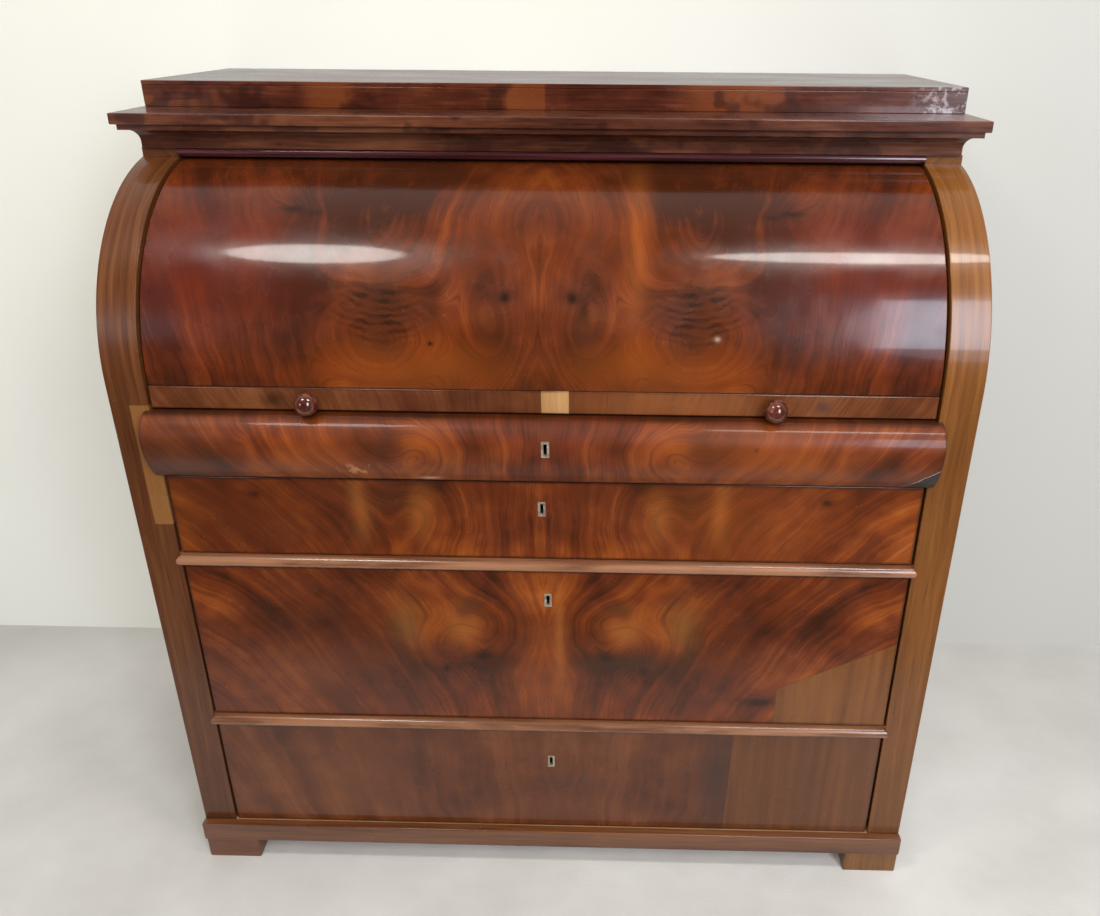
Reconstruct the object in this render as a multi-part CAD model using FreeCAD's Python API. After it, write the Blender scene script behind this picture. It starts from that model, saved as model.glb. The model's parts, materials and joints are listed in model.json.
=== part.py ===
import FreeCAD, Part
import os
from math import acos, asin, cos, degrees, radians, sin, sqrt

Vector = FreeCAD.Vector

# A cylinder bureau: a chest of three drawers under a pull-out writing slide, closed by a rigid
# quarter-round lid that turns about two pins and rolls back over a small fitment.
#
# Lengths are in millimetres. X runs to the right, Y to the back and Z up. While the pieces are
# made, Y is measured from the flat front faces of the posts and Z from the floor. write_node
# moves them so that the origin is in the middle of the desk's footprint.

# Carcass
carcass_width = 1120.0
carcass_depth = 590.0
post_width = 50.4
post_depth = 42.0
rear_post_depth = 40.0
side_panel_thickness = 12.0
side_lining_thickness = 8.0
back_thickness = 10.0
back_rebate = 2.0

# Foot and plinth
foot_height = 43.0
foot_width = 84.0
foot_depth = 60.0
foot_setback = 5.0
plinth_height = 33.0
plinth_thickness = 13.0
plinth_end_projection = 1.0
base_rail_width = 50.0
bottom_board_thickness = 18.0

# Heights of the spaces between the rails, from the plinth up
bottom_drawer_space = 201.8
middle_drawer_space = 267.4
top_drawer_space = 122.3
slide_space = 60.5
rail_thickness = 18.0
rail_depth = 60.0
slide_rail_thickness = 16.0
runner_width = 40.0
dust_board_thickness = 6.0
moulding_projection = 11.2
moulding_overlap = 1.9

# Cylinder: the posts curve back about the lid's pivot
arc_radius = 260.0
pivot_rise = 39.0
frieze_height = 7.0

# Cornice, bead and blocking course
cornice_projection = 21.7
cornice_front_to_pivot = 83.0
cornice_moulding_height = 32.5
cornice_fillet_height = 7.5
cornice_fillet_setback = 6.5
cornice_soffit = 6.0
cornice_cove_width = 13.5
cornice_cove_height = 16.0
cornice_moulding_depth = 32.0
top_board_thickness = 14.5
top_frame_rail_width = 60.0
bead_radius = 6.0
bead_front_to_pivot = 57.0
bead_depth = 27.0
blocking_height = 34.8
blocking_behind_pivot = 14.6
blocking_setback = 4.7
blocking_board_thickness = 18.0
blocking_panel_thickness = 6.0

# Lid
lid_recess = 4.0
lid_edge_rise = 6.0
lid_thickness = 16.0
lid_end_gap = 3.0
lid_rail_height = 31.0
lid_rail_proud = 2.0
lid_rail_inner_depth = 8.0
lid_upper_angle = 88.0
lid_top_rail_angle = 4.0
lid_top_rail_depth = 12.0
lid_cheek_thickness = 10.0
lid_cheek_hub_radius = 28.0
pin_radius = 6.0
pin_length = 44.0
pin_clearance = 0.08
bush_wall = 4.0
pivot_block_size = 90.0
knob_offset = 298.0
knob_radius = 15.5
knob_length = 31.5
knob_neck_radius = 7.0
knob_collar_radius = 10.0
knob_collar_thickness = 3.0

# Writing slide
slide_lid_gap = 2.5
slide_front_height = 91.4
slide_overlap = 4.5
slide_post_gap = 0.5
belly_projection = 30.8
belly_height_share = 0.64
slide_edge_thickness_top = 8.0
slide_edge_thickness_bottom = 7.0
slide_core_thickness = 20.0
slide_board_thickness = 22.0
slide_rear_gap = 78.0
slide_top_gap = 5.0
slide_bearer_width = 30.0
leather_margin_side = 60.0
leather_margin_front = 40.0
leather_margin_rear = 60.0
leather_thickness = 1.5

# Drawers
drawer_end_gap = 3.5
drawer_top_gap = 1.5
drawer_running_gap = 1.0
drawer_front_thickness = 22.0
drawer_side_thickness = 12.0
drawer_back_thickness = 10.0
drawer_bottom_thickness = 6.0
drawer_bottom_rise = 8.0
drawer_side_set_in = 1.0
drawer_side_drop = 14.0
drawer_rear_gap = 78.0
edge_round = 0.8

# Locks: the keyhole's height above the bottom of each opening, and how far right of the middle it is
bottom_key_rise = 137.0
middle_key_rise = 217.2
top_key_rise = 79.2
slide_key_rise = 58.0
bottom_key_offset = 4.3
middle_key_offset = 4.2
top_key_offset = -1.8
slide_key_offset = 6.9
key_width = 4.5
key_height = 16.0
key_liner_wall = 3.0
key_liner_depth = 4.0
key_liner_proud = 0.3
lock_width = 60.0
lock_thickness = 11.0
lock_drop = 18.0
bolt_width = 20.0
bolt_thickness = 7.0
bolt_length = 24.0
bolt_travel = 7.0
bolt_clearance = 0.3
mortise_spare = 1.5
lock_plate_thickness = 2.0

# Fitment behind the lid
fitment_base_thickness = 14.0
fitment_behind_pivot = 2.0
fitment_depth = 190.0
fitment_height = 160.0
fitment_end_gap = 8.0
fitment_board_thickness = 9.0
fitment_back_thickness = 5.0
letter_drawer_height = 60.0
letter_drawer_width = 300.0
letter_drawer_gap = 1.0
letter_drawer_wall = 7.0
letter_drawer_bottom_thickness = 3.5
letter_knob_radius = 6.5
letter_knob_length = 13.0
letter_knob_neck_radius = 2.5
pigeonhole_count = 6
pigeonhole_divider_thickness = 6.0

# Making: how far a cutting tool passes the face it opens, and how close counts as touching
cut_overrun = 1.0
touching = 0.01

# Levels
plinth_top = foot_height + plinth_height
lower_rail_bottom = plinth_top + bottom_drawer_space
lower_rail_top = lower_rail_bottom + rail_thickness
upper_rail_bottom = lower_rail_top + middle_drawer_space
upper_rail_top = upper_rail_bottom + rail_thickness
slide_rail_bottom = upper_rail_top + top_drawer_space
slide_rail_top = slide_rail_bottom + slide_rail_thickness
fitment_base_bottom = slide_rail_top + slide_space
fitment_base_top = fitment_base_bottom + fitment_base_thickness
pivot_z = fitment_base_top + pivot_rise
pivot_y = arc_radius
post_top = pivot_z + arc_radius + frieze_height
cornice_top = post_top + cornice_moulding_height + top_board_thickness

# Shared places
half_width = carcass_width / 2
opening_half = half_width - post_width
drawer_half = opening_half - drawer_end_gap
back_face = carcass_depth - back_rebate
inner_back = back_face - back_thickness
cornice_front_y = pivot_y - cornice_front_to_pivot
bead_front_y = pivot_y - bead_front_to_pivot
blocking_front_y = pivot_y + blocking_behind_pivot
fitment_front_y = pivot_y + fitment_behind_pivot
arc_inner_radius = arc_radius - post_depth
lid_radius = arc_radius - lid_recess
lid_inner_radius = lid_radius - lid_thickness
lid_half = opening_half - lid_end_gap
lid_lower_edge_z = fitment_base_top + lid_edge_rise
lid_lower_angle = -degrees(asin((pivot_z - lid_lower_edge_z) / lid_radius))
lid_rail_angle = -degrees(asin((pivot_z - lid_lower_edge_z - lid_rail_height) / lid_radius))
lid_rail_front_y = pivot_y - lid_radius - lid_rail_proud
slide_front_top = lid_lower_edge_z - slide_lid_gap
slide_front_bottom = slide_front_top - slide_front_height
slide_board_top = fitment_base_bottom - slide_top_gap
slide_board_bottom = slide_board_top - slide_board_thickness
slide_board_back = inner_back - slide_rear_gap
belly_widest_z = slide_front_bottom + slide_front_height * belly_height_share
drawer_length = inner_back - drawer_rear_gap
cornice_half = half_width + cornice_projection
footprint_middle_y = (carcass_depth - belly_projection - key_liner_proud) / 2


def write_node(name, solids):
    """Moves the solids to the shared origin and writes them as one STEP file."""
    shape = Part.makeCompound(solids) if len(solids) > 1 else solids[0].copy()
    shape.translate(Vector(0, -footprint_middle_y, 0))
    shape.exportStep("parts/" + name + ".step")


def board(x, y, z):
    """A rectangular board between three pairs of limits."""
    return Part.makeBox(x[1] - x[0], y[1] - y[0], z[1] - z[0], Vector(x[0], y[0], z[0]))


def mirrored(solid):
    """The left-hand twin of a right-hand piece."""
    return solid.mirror(Vector(0, 0, 0), Vector(1, 0, 0))


def both_sides(solid):
    return [solid, mirrored(solid)]


def line(start, end):
    return Part.LineSegment(start, end).toShape()


def arc(start, middle, end):
    return Part.Arc(start, middle, end).toShape()


def outline(edges):
    return Part.Face(Part.Wire(edges))


def side_view(y, z):
    """A point of a profile seen from the side."""
    return Vector(0, y, z)


def around_pivot(radius, angle):
    """A side-view point at this radius about the lid's pivot: 0 degrees is forward and 90 is up."""
    return side_view(pivot_y - radius * cos(radians(angle)), pivot_z + radius * sin(radians(angle)))


def across(face, x):
    """A side-view face made solid between two limits in X."""
    solid = face.extrude(Vector(x[1] - x[0], 0, 0))
    solid.translate(Vector(x[0], 0, 0))
    return solid


def pivot_arc(radius, start_angle, end_angle):
    middle = around_pivot(radius, (start_angle + end_angle) / 2)
    return arc(around_pivot(radius, start_angle), middle, around_pivot(radius, end_angle))


def curved_board(inner, outer, start_angle, end_angle, x):
    """A board bent about the lid's pivot."""
    edges = [
        pivot_arc(outer, start_angle, end_angle),
        line(around_pivot(outer, end_angle), around_pivot(inner, end_angle)),
        pivot_arc(inner, end_angle, start_angle),
        line(around_pivot(inner, start_angle), around_pivot(outer, start_angle)),
    ]
    return across(outline(edges), x)


def rod_x(radius, x, y, z):
    """A round rod along X."""
    return Part.makeCylinder(radius, x[1] - x[0], Vector(x[0], y, z), Vector(1, 0, 0))


def round_edges(solid, radius, wanted):
    """Rounds the edges that the test picks."""
    edges = [edge for edge in solid.Edges if wanted(edge)]
    return solid.makeFillet(radius, edges)


def on_plane_y(edge, y):
    """True for an edge that lies wholly in the plane at this depth."""
    return all(abs(vertex.Point.y - y) < touching for vertex in edge.Vertexes)


# ---- Sides of the carcass ----

def front_post():
    """The right post: straight up from the base, a quarter circle back, and a seat for the cornice."""
    x = (opening_half, half_width)
    seat_y = cornice_front_y + cornice_fillet_setback + cornice_soffit + cornice_cove_width
    seat_angle = degrees(acos((pivot_y - seat_y) / arc_radius))
    edges = [
        line(side_view(post_depth, foot_height), side_view(0, foot_height)),
        line(side_view(0, foot_height), side_view(0, pivot_z)),
        pivot_arc(arc_radius, 0, seat_angle),
        line(around_pivot(arc_radius, seat_angle), side_view(seat_y, post_top)),
        line(side_view(seat_y, post_top), side_view(pivot_y, post_top)),
        line(side_view(pivot_y, post_top), around_pivot(arc_inner_radius, 90)),
        pivot_arc(arc_inner_radius, 90, 0),
        line(side_view(post_depth, pivot_z), side_view(post_depth, foot_height)),
    ]
    return across(outline(edges), x)


def rear_post():
    y = (carcass_depth - rear_post_depth, carcass_depth)
    post = board((opening_half, half_width), y, (foot_height, post_top))
    rebate_x = (opening_half - cut_overrun, half_width - side_panel_thickness)
    rebate_y = (inner_back, carcass_depth + cut_overrun)
    rebate = board(rebate_x, rebate_y, (plinth_top, post_top + cut_overrun))
    return post.cut(rebate)


def side_rails():
    """The rails that join the posts at the top and the bottom of the side."""
    x = (opening_half, half_width)
    rear = carcass_depth - rear_post_depth
    top = board(x, (pivot_y, rear), (pivot_z + arc_inner_radius, post_top))
    bottom = board(x, (post_depth, rear), (foot_height, plinth_top))
    return both_sides(top) + both_sides(bottom)


def side_board(x):
    """A board that fills the frame of posts and rails on one side."""
    rear = carcass_depth - rear_post_depth
    top_z = pivot_z + arc_inner_radius
    edges = [
        line(side_view(post_depth, plinth_top), side_view(post_depth, pivot_z)),
        pivot_arc(arc_inner_radius, 0, 90),
        line(side_view(pivot_y, top_z), side_view(rear, top_z)),
        line(side_view(rear, top_z), side_view(rear, plinth_top)),
        line(side_view(rear, plinth_top), side_view(post_depth, plinth_top)),
    ]
    return across(outline(edges), x)


def side_panel():
    """The outer board, flush with the faces of the posts and rails."""
    return side_board((half_width - side_panel_thickness, half_width))


def side_lining():
    """The inner face of the side, bored for the lid's bush."""
    x = (opening_half, opening_half + side_lining_thickness)
    return side_board(x).cut(rod_x(pin_radius + bush_wall, x, pivot_y, pivot_z))


def pivot_block():
    """A block between the lining and the side panel that holds the bush."""
    x = (opening_half + side_lining_thickness, half_width - side_panel_thickness)
    half = pivot_block_size / 2
    block = board(x, (pivot_y - half, pivot_y + half), (pivot_z - half, pivot_z + half))
    return block.cut(rod_x(pin_radius + bush_wall, x, pivot_y, pivot_z))


def pivot_bush():
    """A brass sleeve, with its bore a running clearance larger than the pin."""
    x = (opening_half, half_width - side_panel_thickness)
    sleeve = rod_x(pin_radius + bush_wall, x, pivot_y, pivot_z)
    return sleeve.cut(rod_x(pin_radius + pin_clearance, x, pivot_y, pivot_z))


# ---- Base ----

def front_foot():
    outer = half_width + plinth_end_projection
    front = foot_setback - plinth_thickness
    return board((outer - foot_width, outer), (front, front + foot_depth), (0, foot_height))


def rear_foot():
    foot = front_foot()
    front = foot_setback - plinth_thickness
    foot.translate(Vector(0, carcass_depth - foot_depth - front, 0))
    return foot


def plinth_board():
    end = half_width + plinth_end_projection
    plinth = board((-end, end), (-plinth_thickness, 0), (foot_height, plinth_top))
    return round_edges(plinth, edge_round, lambda edge: on_plane_y(edge, -plinth_thickness))


def base_rails():
    """Front and rear rails under the bottom board."""
    x = (-opening_half, opening_half)
    z = (foot_height, plinth_top - bottom_board_thickness)
    front = board(x, (0, base_rail_width), z)
    rear = board(x, (inner_back - base_rail_width, inner_back), z)
    return [front, rear]


def bottom_board():
    z = (plinth_top - bottom_board_thickness, plinth_top)
    return board((-opening_half, opening_half), (0, inner_back), z)


# ---- Rails between the drawers ----

def bolt_mortise(y_middle, z_low, z_high):
    """The pocket above a lock that its bolt rises into."""
    half_x = bolt_width / 2 + mortise_spare
    half_y = bolt_thickness / 2 + mortise_spare
    return board((-half_x, half_x), (y_middle - half_y, y_middle + half_y), (z_low, z_high))


def drawer_bolt_y():
    return drawer_front_thickness - lock_thickness / 2


def rail(z):
    """A front rail, with the mortise for the bolt of the drawer below."""
    front = board((-opening_half, opening_half), (0, rail_depth), z)
    depth = bolt_travel + mortise_spare
    return front.cut(bolt_mortise(drawer_bolt_y(), z[0], z[0] + depth))


def rail_levels():
    return [
        (lower_rail_bottom, lower_rail_top),
        (upper_rail_bottom, upper_rail_top),
        (slide_rail_bottom, slide_rail_top),
    ]


def runners():
    """The battens along the sides that carry the drawers and the slide."""
    solids = []
    for z in rail_levels():
        runner = board((opening_half - runner_width, opening_half), (rail_depth, inner_back), z)
        solids += both_sides(runner)
    return solids


def dust_boards():
    """Thin boards between the runners that close each drawer's space."""
    half = opening_half - runner_width
    solids = []
    for low, high in rail_levels():
        z_low = (low + high - dust_board_thickness) / 2
        z = (z_low, z_low + dust_board_thickness)
        solids.append(board((-half, half), (rail_depth, inner_back), z))
    return solids


def rail_moulding(z):
    """A half-round strip on a rail. Its profile returns round both ends."""
    middle = (z[0] + z[1]) / 2
    end = opening_half + moulding_overlap
    low = side_view(0, z[0])
    high = side_view(0, z[1])
    nose = side_view(-moulding_projection, middle)
    front = across(outline([arc(low, nose, high), line(high, low)]), (-end, end))
    shoulder = end - moulding_projection
    right = [Vector(shoulder, 0, z[0]), Vector(end, 0, middle), Vector(shoulder, 0, z[1])]
    left = [Vector(-point.x, 0, point.z) for point in right]
    edges = [
        arc(right[0], right[1], right[2]),
        line(right[2], left[2]),
        arc(left[2], left[1], left[0]),
        line(left[0], right[0]),
    ]
    returned = outline(edges).extrude(Vector(0, -moulding_projection, 0))
    return front.common(returned)


# ---- Top of the carcass ----

def cornice_profile():
    """The moulding's section as (setback from the top board's edge, height) points, with its cove."""
    foot_set = cornice_fillet_setback + cornice_soffit + cornice_cove_width
    top = post_top + cornice_moulding_height
    cove_top = top - cornice_fillet_height
    cove_bottom = cove_top - cornice_cove_height
    cove_start = cornice_fillet_setback + cornice_soffit
    diagonal = sqrt(2) / 2
    cove_middle_set = cove_start + cornice_cove_width * diagonal
    cove_middle_z = cove_bottom + cornice_cove_height * diagonal
    return foot_set, top, cove_top, cove_bottom, cove_start, cove_middle_set, cove_middle_z


def cornice_strip(x):
    """A straight length of the cornice moulding, facing the front."""
    foot_set, top, cove_top, cove_bottom, cove_start, middle_set, middle_z = cornice_profile()
    front = cornice_front_y
    back = front + cornice_fillet_setback + cornice_moulding_depth
    corners = [
        side_view(front + foot_set, cove_bottom),
        side_view(front + foot_set, post_top),
        side_view(back, post_top),
        side_view(back, top),
        side_view(front + cornice_fillet_setback, top),
        side_view(front + cornice_fillet_setback, cove_top),
        side_view(front + cove_start, cove_top),
    ]
    edges = [line(start, end) for start, end in zip(corners, corners[1:])]
    edges.append(arc(corners[-1], side_view(front + middle_set, middle_z), corners[0]))
    return across(outline(edges), x)


def mitre_prism(points):
    """A prism that cuts a moulding to its plan outline, over the moulding's whole height."""
    corners = [Vector(x, y, post_top) for x, y in points]
    edges = [line(start, end) for start, end in zip(corners, corners[1:] + corners[:1])]
    return outline(edges).extrude(Vector(0, 0, cornice_moulding_height))


def cornice_moulding():
    """Three mitred lengths: one across the front and one down each side."""
    far = cornice_half
    reach = cornice_fillet_setback + cornice_moulding_depth
    front_y = cornice_front_y
    near = far - reach
    mitre = [(-far, front_y), (far, front_y), (near, front_y + reach), (-near, front_y + reach)]
    front = cornice_strip((-far, far)).common(mitre_prism(mitre))
    length = carcass_depth - front_y
    strip = cornice_strip((0, length))
    strip.translate(Vector(0, -front_y, 0))
    strip.rotate(Vector(0, 0, 0), Vector(0, 0, 1), 90)
    strip.translate(Vector(far, front_y, 0))
    side = [(far, front_y), (far, carcass_depth), (near, carcass_depth), (near, front_y + reach)]
    return [front] + both_sides(strip.common(mitre_prism(side)))


def top_frame():
    """Four rails inside the cornice moulding that tie the posts together."""
    half = cornice_half - cornice_fillet_setback - cornice_moulding_depth
    front = cornice_front_y + cornice_fillet_setback + cornice_moulding_depth
    width = top_frame_rail_width
    z = (post_top, post_top + cornice_moulding_height)
    front_rail = board((-half, half), (front, front + width), z)
    rear_rail = board((-half, half), (carcass_depth - width, carcass_depth), z)
    side = board((half - width, half), (front + width, carcass_depth - width), z)
    return [front_rail, rear_rail] + both_sides(side)


def top_board():
    z_low = post_top + cornice_moulding_height
    z = (z_low, z_low + top_board_thickness)
    slab = board((-cornice_half, cornice_half), (cornice_front_y, carcass_depth), z)
    return round_edges(slab, edge_round, lambda edge: on_plane_y(edge, cornice_front_y))


def top_bead():
    """A half-round bead on the strip under the front rail, just clear of the lid."""
    middle_y = bead_front_y + bead_radius
    high = side_view(middle_y, post_top)
    low = side_view(middle_y, post_top - 2 * bead_radius)
    strip_low = post_top - frieze_height
    step = side_view(middle_y, strip_low)
    back = bead_front_y + bead_depth
    edges = [
        arc(low, side_view(bead_front_y, post_top - bead_radius), high),
        line(high, side_view(back, post_top)),
        line(side_view(back, post_top), side_view(back, strip_low)),
        line(side_view(back, strip_low), step),
        line(step, low),
    ]
    return across(outline(edges), (-opening_half, opening_half))


def blocking_frame():
    """The upstand on the cornice: a front, two ends and a back rail, mitred as a box."""
    half = cornice_half - blocking_setback
    thickness = blocking_board_thickness
    z = (cornice_top, cornice_top + blocking_height - blocking_panel_thickness)
    front = board((-half, half), (blocking_front_y, blocking_front_y + thickness), z)
    rear = board((-half, half), (carcass_depth - thickness, carcass_depth), z)
    inner = (blocking_front_y + thickness, carcass_depth - thickness)
    end = board((half - thickness, half), inner, z)
    return [front, rear] + both_sides(end)


def blocking_panel():
    half = cornice_half - blocking_setback
    high = cornice_top + blocking_height
    z = (high - blocking_panel_thickness, high)
    return board((-half, half), (blocking_front_y, carcass_depth), z)


def back_boards():
    """Two wide upright boards that close the back."""
    half = half_width - side_panel_thickness
    z = (plinth_top, post_top)
    left = board((-half, 0), (inner_back, back_face), z)
    right = board((0, half), (inner_back, back_face), z)
    return [left, right]


# ---- Fitment ----

def fitment_half():
    return lid_half - lid_cheek_thickness - fitment_end_gap


def fitment_inner_half():
    return fitment_half() - fitment_board_thickness


def fitment_shelf_z():
    return fitment_base_top + letter_drawer_height + 2 * letter_drawer_gap


def fitment_base():
    """The bed over the slide, which carries the fitment clear of the lid's cheeks."""
    z = (fitment_base_bottom, fitment_base_top)
    return board((-opening_half, opening_half), (fitment_front_y, inner_back), z)


def letter_drawer_inner_edge():
    return fitment_inner_half() - letter_drawer_width - 2 * letter_drawer_gap


def fitment_uprights():
    """The two ends, the uprights beside the letter drawers, and the dividers of the pigeonholes."""
    y = (fitment_front_y, fitment_front_y + fitment_depth - fitment_back_thickness)
    top = fitment_base_top + fitment_height
    outer = fitment_half()
    solids = both_sides(board((fitment_inner_half(), outer), y, (fitment_base_top, top)))
    edge = letter_drawer_inner_edge()
    lower = board((edge - fitment_board_thickness, edge), y, (fitment_base_top, fitment_shelf_z()))
    solids += both_sides(lower)
    low = fitment_shelf_z() + fitment_board_thickness
    high = top - fitment_board_thickness
    pitch = 2 * fitment_inner_half() / pigeonhole_count
    for index in range(1, pigeonhole_count):
        middle = -fitment_inner_half() + index * pitch
        half = pigeonhole_divider_thickness / 2
        solids.append(board((middle - half, middle + half), y, (low, high)))
    return solids


def fitment_shelves():
    """The shelf over the letter drawers and the top of the fitment."""
    y = (fitment_front_y, fitment_front_y + fitment_depth - fitment_back_thickness)
    x = (-fitment_inner_half(), fitment_inner_half())
    top = fitment_base_top + fitment_height
    shelf_low = fitment_shelf_z()
    shelf = board(x, y, (shelf_low, shelf_low + fitment_board_thickness))
    cover = board(x, y, (top - fitment_board_thickness, top))
    return [shelf, cover]


def fitment_back():
    y_back = fitment_front_y + fitment_depth
    y = (y_back - fitment_back_thickness, y_back)
    z = (fitment_base_top, fitment_base_top + fitment_height)
    return board((-fitment_half(), fitment_half()), y, z)


def letter_drawer():
    """The right-hand letter drawer: front, two sides, back and bottom."""
    inner = letter_drawer_inner_edge() + letter_drawer_gap
    outer = inner + letter_drawer_width
    wall = letter_drawer_wall
    low = fitment_base_top + letter_drawer_gap
    high = low + letter_drawer_height
    front_y = fitment_front_y
    back_y = front_y + fitment_depth - fitment_back_thickness - letter_drawer_gap
    front = board((inner, outer), (front_y, front_y + wall), (low, high))
    back = board((inner, outer), (back_y - wall, back_y), (low, high))
    side_y = (front_y + wall, back_y - wall)
    near = board((inner, inner + wall), side_y, (low, high))
    far = board((outer - wall, outer), side_y, (low, high))
    bottom_z = (low, low + letter_drawer_bottom_thickness)
    bottom = board((inner + wall, outer - wall), side_y, bottom_z)
    return [front, back, near, far, bottom]


def letter_knob():
    """A small turned brass knob in the middle of the letter drawer's front."""
    x = letter_drawer_inner_edge() + letter_drawer_gap + letter_drawer_width / 2
    z = fitment_base_top + letter_drawer_gap + letter_drawer_height / 2
    reach = letter_knob_length - letter_knob_radius
    forward = Vector(0, -1, 0)
    neck = Part.makeCylinder(letter_knob_neck_radius, reach, Vector(x, fitment_front_y, z), forward)
    ball = Part.makeSphere(letter_knob_radius, Vector(x, fitment_front_y - reach, z))
    return neck.fuse(ball).removeSplitter()


# ---- Lid ----

def lid_shell():
    x = (-lid_half, lid_half)
    return curved_board(lid_inner_radius, lid_radius, lid_rail_angle, lid_upper_angle, x)


def lid_bolt_y():
    return slide_core_thickness - lock_thickness / 2


def lid_rail():
    """The flat-fronted rail along the lid's lower edge, which takes the slide's bolt."""
    x = (-lid_half, lid_half)
    front = lid_rail_front_y
    back = around_pivot(lid_inner_radius - lid_rail_inner_depth, lid_rail_angle).y
    low = lid_lower_edge_z
    block = board(x, (front, back), (low, low + lid_rail_height))
    pocket = bolt_mortise(lid_bolt_y(), low, low + bolt_travel + mortise_spare + slide_lid_gap)
    block = block.cut(pocket)
    below_shell = curved_board(lid_inner_radius / 2, lid_radius * 2, lid_lower_angle * 2, lid_rail_angle, x)
    return round_edges(block.common(below_shell), edge_round, lambda edge: on_plane_y(edge, front))


def lid_top_rail():
    """A stiffening rail inside the lid's upper edge."""
    inner = lid_inner_radius - lid_top_rail_depth
    x = (-lid_half + lid_cheek_thickness, lid_half - lid_cheek_thickness)
    return curved_board(inner, lid_inner_radius, lid_upper_angle - lid_top_rail_angle, lid_upper_angle, x)


def lid_cheek():
    """The right-hand end of the lid: a sector with a round boss at the pivot."""
    x = (lid_half - lid_cheek_thickness, lid_half)
    edges = [
        pivot_arc(lid_inner_radius, lid_rail_angle, lid_upper_angle),
        line(around_pivot(lid_inner_radius, lid_upper_angle), around_pivot(0, 0)),
        line(around_pivot(0, 0), around_pivot(lid_inner_radius, lid_rail_angle)),
    ]
    sector = across(outline(edges), x)
    boss = rod_x(lid_cheek_hub_radius, x, pivot_y, pivot_z)
    cheek = sector.fuse(boss).removeSplitter()
    return cheek.cut(rod_x(pin_radius, x, pivot_y, pivot_z))


def lid_pin():
    start = lid_half - lid_cheek_thickness
    return rod_x(pin_radius, (start, start + pin_length), pivot_y, pivot_z)


def knob():
    """A turned knob: a collar, a short neck and a ball."""
    middle_z = lid_lower_edge_z + lid_rail_height / 2
    seat = Vector(knob_offset, lid_rail_front_y, middle_z)
    forward = Vector(0, -1, 0)
    reach = knob_length - knob_radius
    collar = Part.makeCylinder(knob_collar_radius, knob_collar_thickness, seat, forward)
    neck = Part.makeCylinder(knob_neck_radius, reach, seat, forward)
    ball = Part.makeSphere(knob_radius, seat + forward * reach)
    return collar.fuse([neck, ball]).removeSplitter()


# ---- Writing slide ----

def belly_radius(edge_thickness, edge_z):
    """The radius of the arc from an edge to the widest line, where the arc runs upright."""
    run = belly_projection - edge_thickness
    rise = abs(edge_z - belly_widest_z)
    return (run ** 2 + rise ** 2) / (2 * run)


def belly_arc(edge_thickness, edge_z):
    """The arc from an edge of the belly to its widest line."""
    radius = belly_radius(edge_thickness, edge_z)
    half = asin((edge_z - belly_widest_z) / radius) / 2
    middle = side_view(radius * (1 - cos(half)) - belly_projection, belly_widest_z + radius * sin(half))
    nose = side_view(-belly_projection, belly_widest_z)
    return arc(side_view(-edge_thickness, edge_z), middle, nose)


def slide_front():
    """A bellied board over the posts, with a core that fits between them and is let out for the lock."""
    inner = -slide_post_gap
    top = side_view(-slide_edge_thickness_top, slide_front_top)
    bottom = side_view(-slide_edge_thickness_bottom, slide_front_bottom)
    edges = [
        line(side_view(inner, slide_front_bottom), bottom),
        belly_arc(slide_edge_thickness_bottom, slide_front_bottom),
        belly_arc(slide_edge_thickness_top, slide_front_top),
        line(top, side_view(inner, slide_front_top)),
        line(side_view(inner, slide_front_top), side_view(inner, slide_front_bottom)),
    ]
    end = opening_half + slide_overlap
    belly = across(outline(edges), (-end, end))
    core_low = slide_rail_top + drawer_running_gap
    core = board((-drawer_half, drawer_half), (inner, slide_core_thickness), (core_low, slide_front_top))
    front = belly.fuse(core).removeSplitter()
    y = (slide_core_thickness, -belly_projection)
    return cut_for_lock(front, slide_key_offset, slide_key_z(), slide_front_top, *y)


def slide_key_z():
    return slide_front_bottom + slide_key_rise


def slide_board():
    """The writing board, with a shallow bed for the leather."""
    y = (slide_core_thickness, slide_board_back)
    slab = board((-drawer_half, drawer_half), y, (slide_board_bottom, slide_board_top))
    return slab.cut(slide_leather())


def slide_leather():
    half = drawer_half - leather_margin_side
    y = (slide_core_thickness + leather_margin_front, slide_board_back - leather_margin_rear)
    z = (slide_board_top - leather_thickness, slide_board_top)
    return board((-half, half), y, z)


def slide_bearers():
    """Battens under the writing board that run on the slide rail and its runners."""
    y = (slide_core_thickness, slide_board_back)
    z = (slide_rail_top + drawer_running_gap, slide_board_bottom)
    return both_sides(board((drawer_half - slide_bearer_width, drawer_half), y, z))


# ---- Locks ----

def cut_for_lock(front, key_x, key_z, top_z, back_y, front_y):
    """Cuts the keyhole through a front and the pocket for the lock into its back."""
    half_x = key_width / 2 + key_liner_wall
    half_z = key_height / 2 + key_liner_wall
    y = (front_y - cut_overrun, back_y)
    keyhole = board((key_x - half_x, key_x + half_x), y, (key_z - half_z, key_z + half_z))
    half_lock = lock_width / 2
    pocket_y = (back_y - lock_thickness, back_y)
    pocket = board((-half_lock, half_lock), pocket_y, (key_z - lock_drop, top_z))
    return front.cut(keyhole).cut(pocket)


def bolt_box(key_z, top_z, back_y, spare):
    """The bolt at rest, or with spare room all round it, the channel that it slides in."""
    middle = back_y - lock_thickness / 2
    half_x = bolt_width / 2 + spare
    half_y = bolt_thickness / 2 + spare
    low = top_z - bolt_clearance - bolt_length - spare
    high = top_z - bolt_clearance
    if spare:
        high = top_z
    return board((-half_x, half_x), (middle - half_y, middle + half_y), (low, high))


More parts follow.
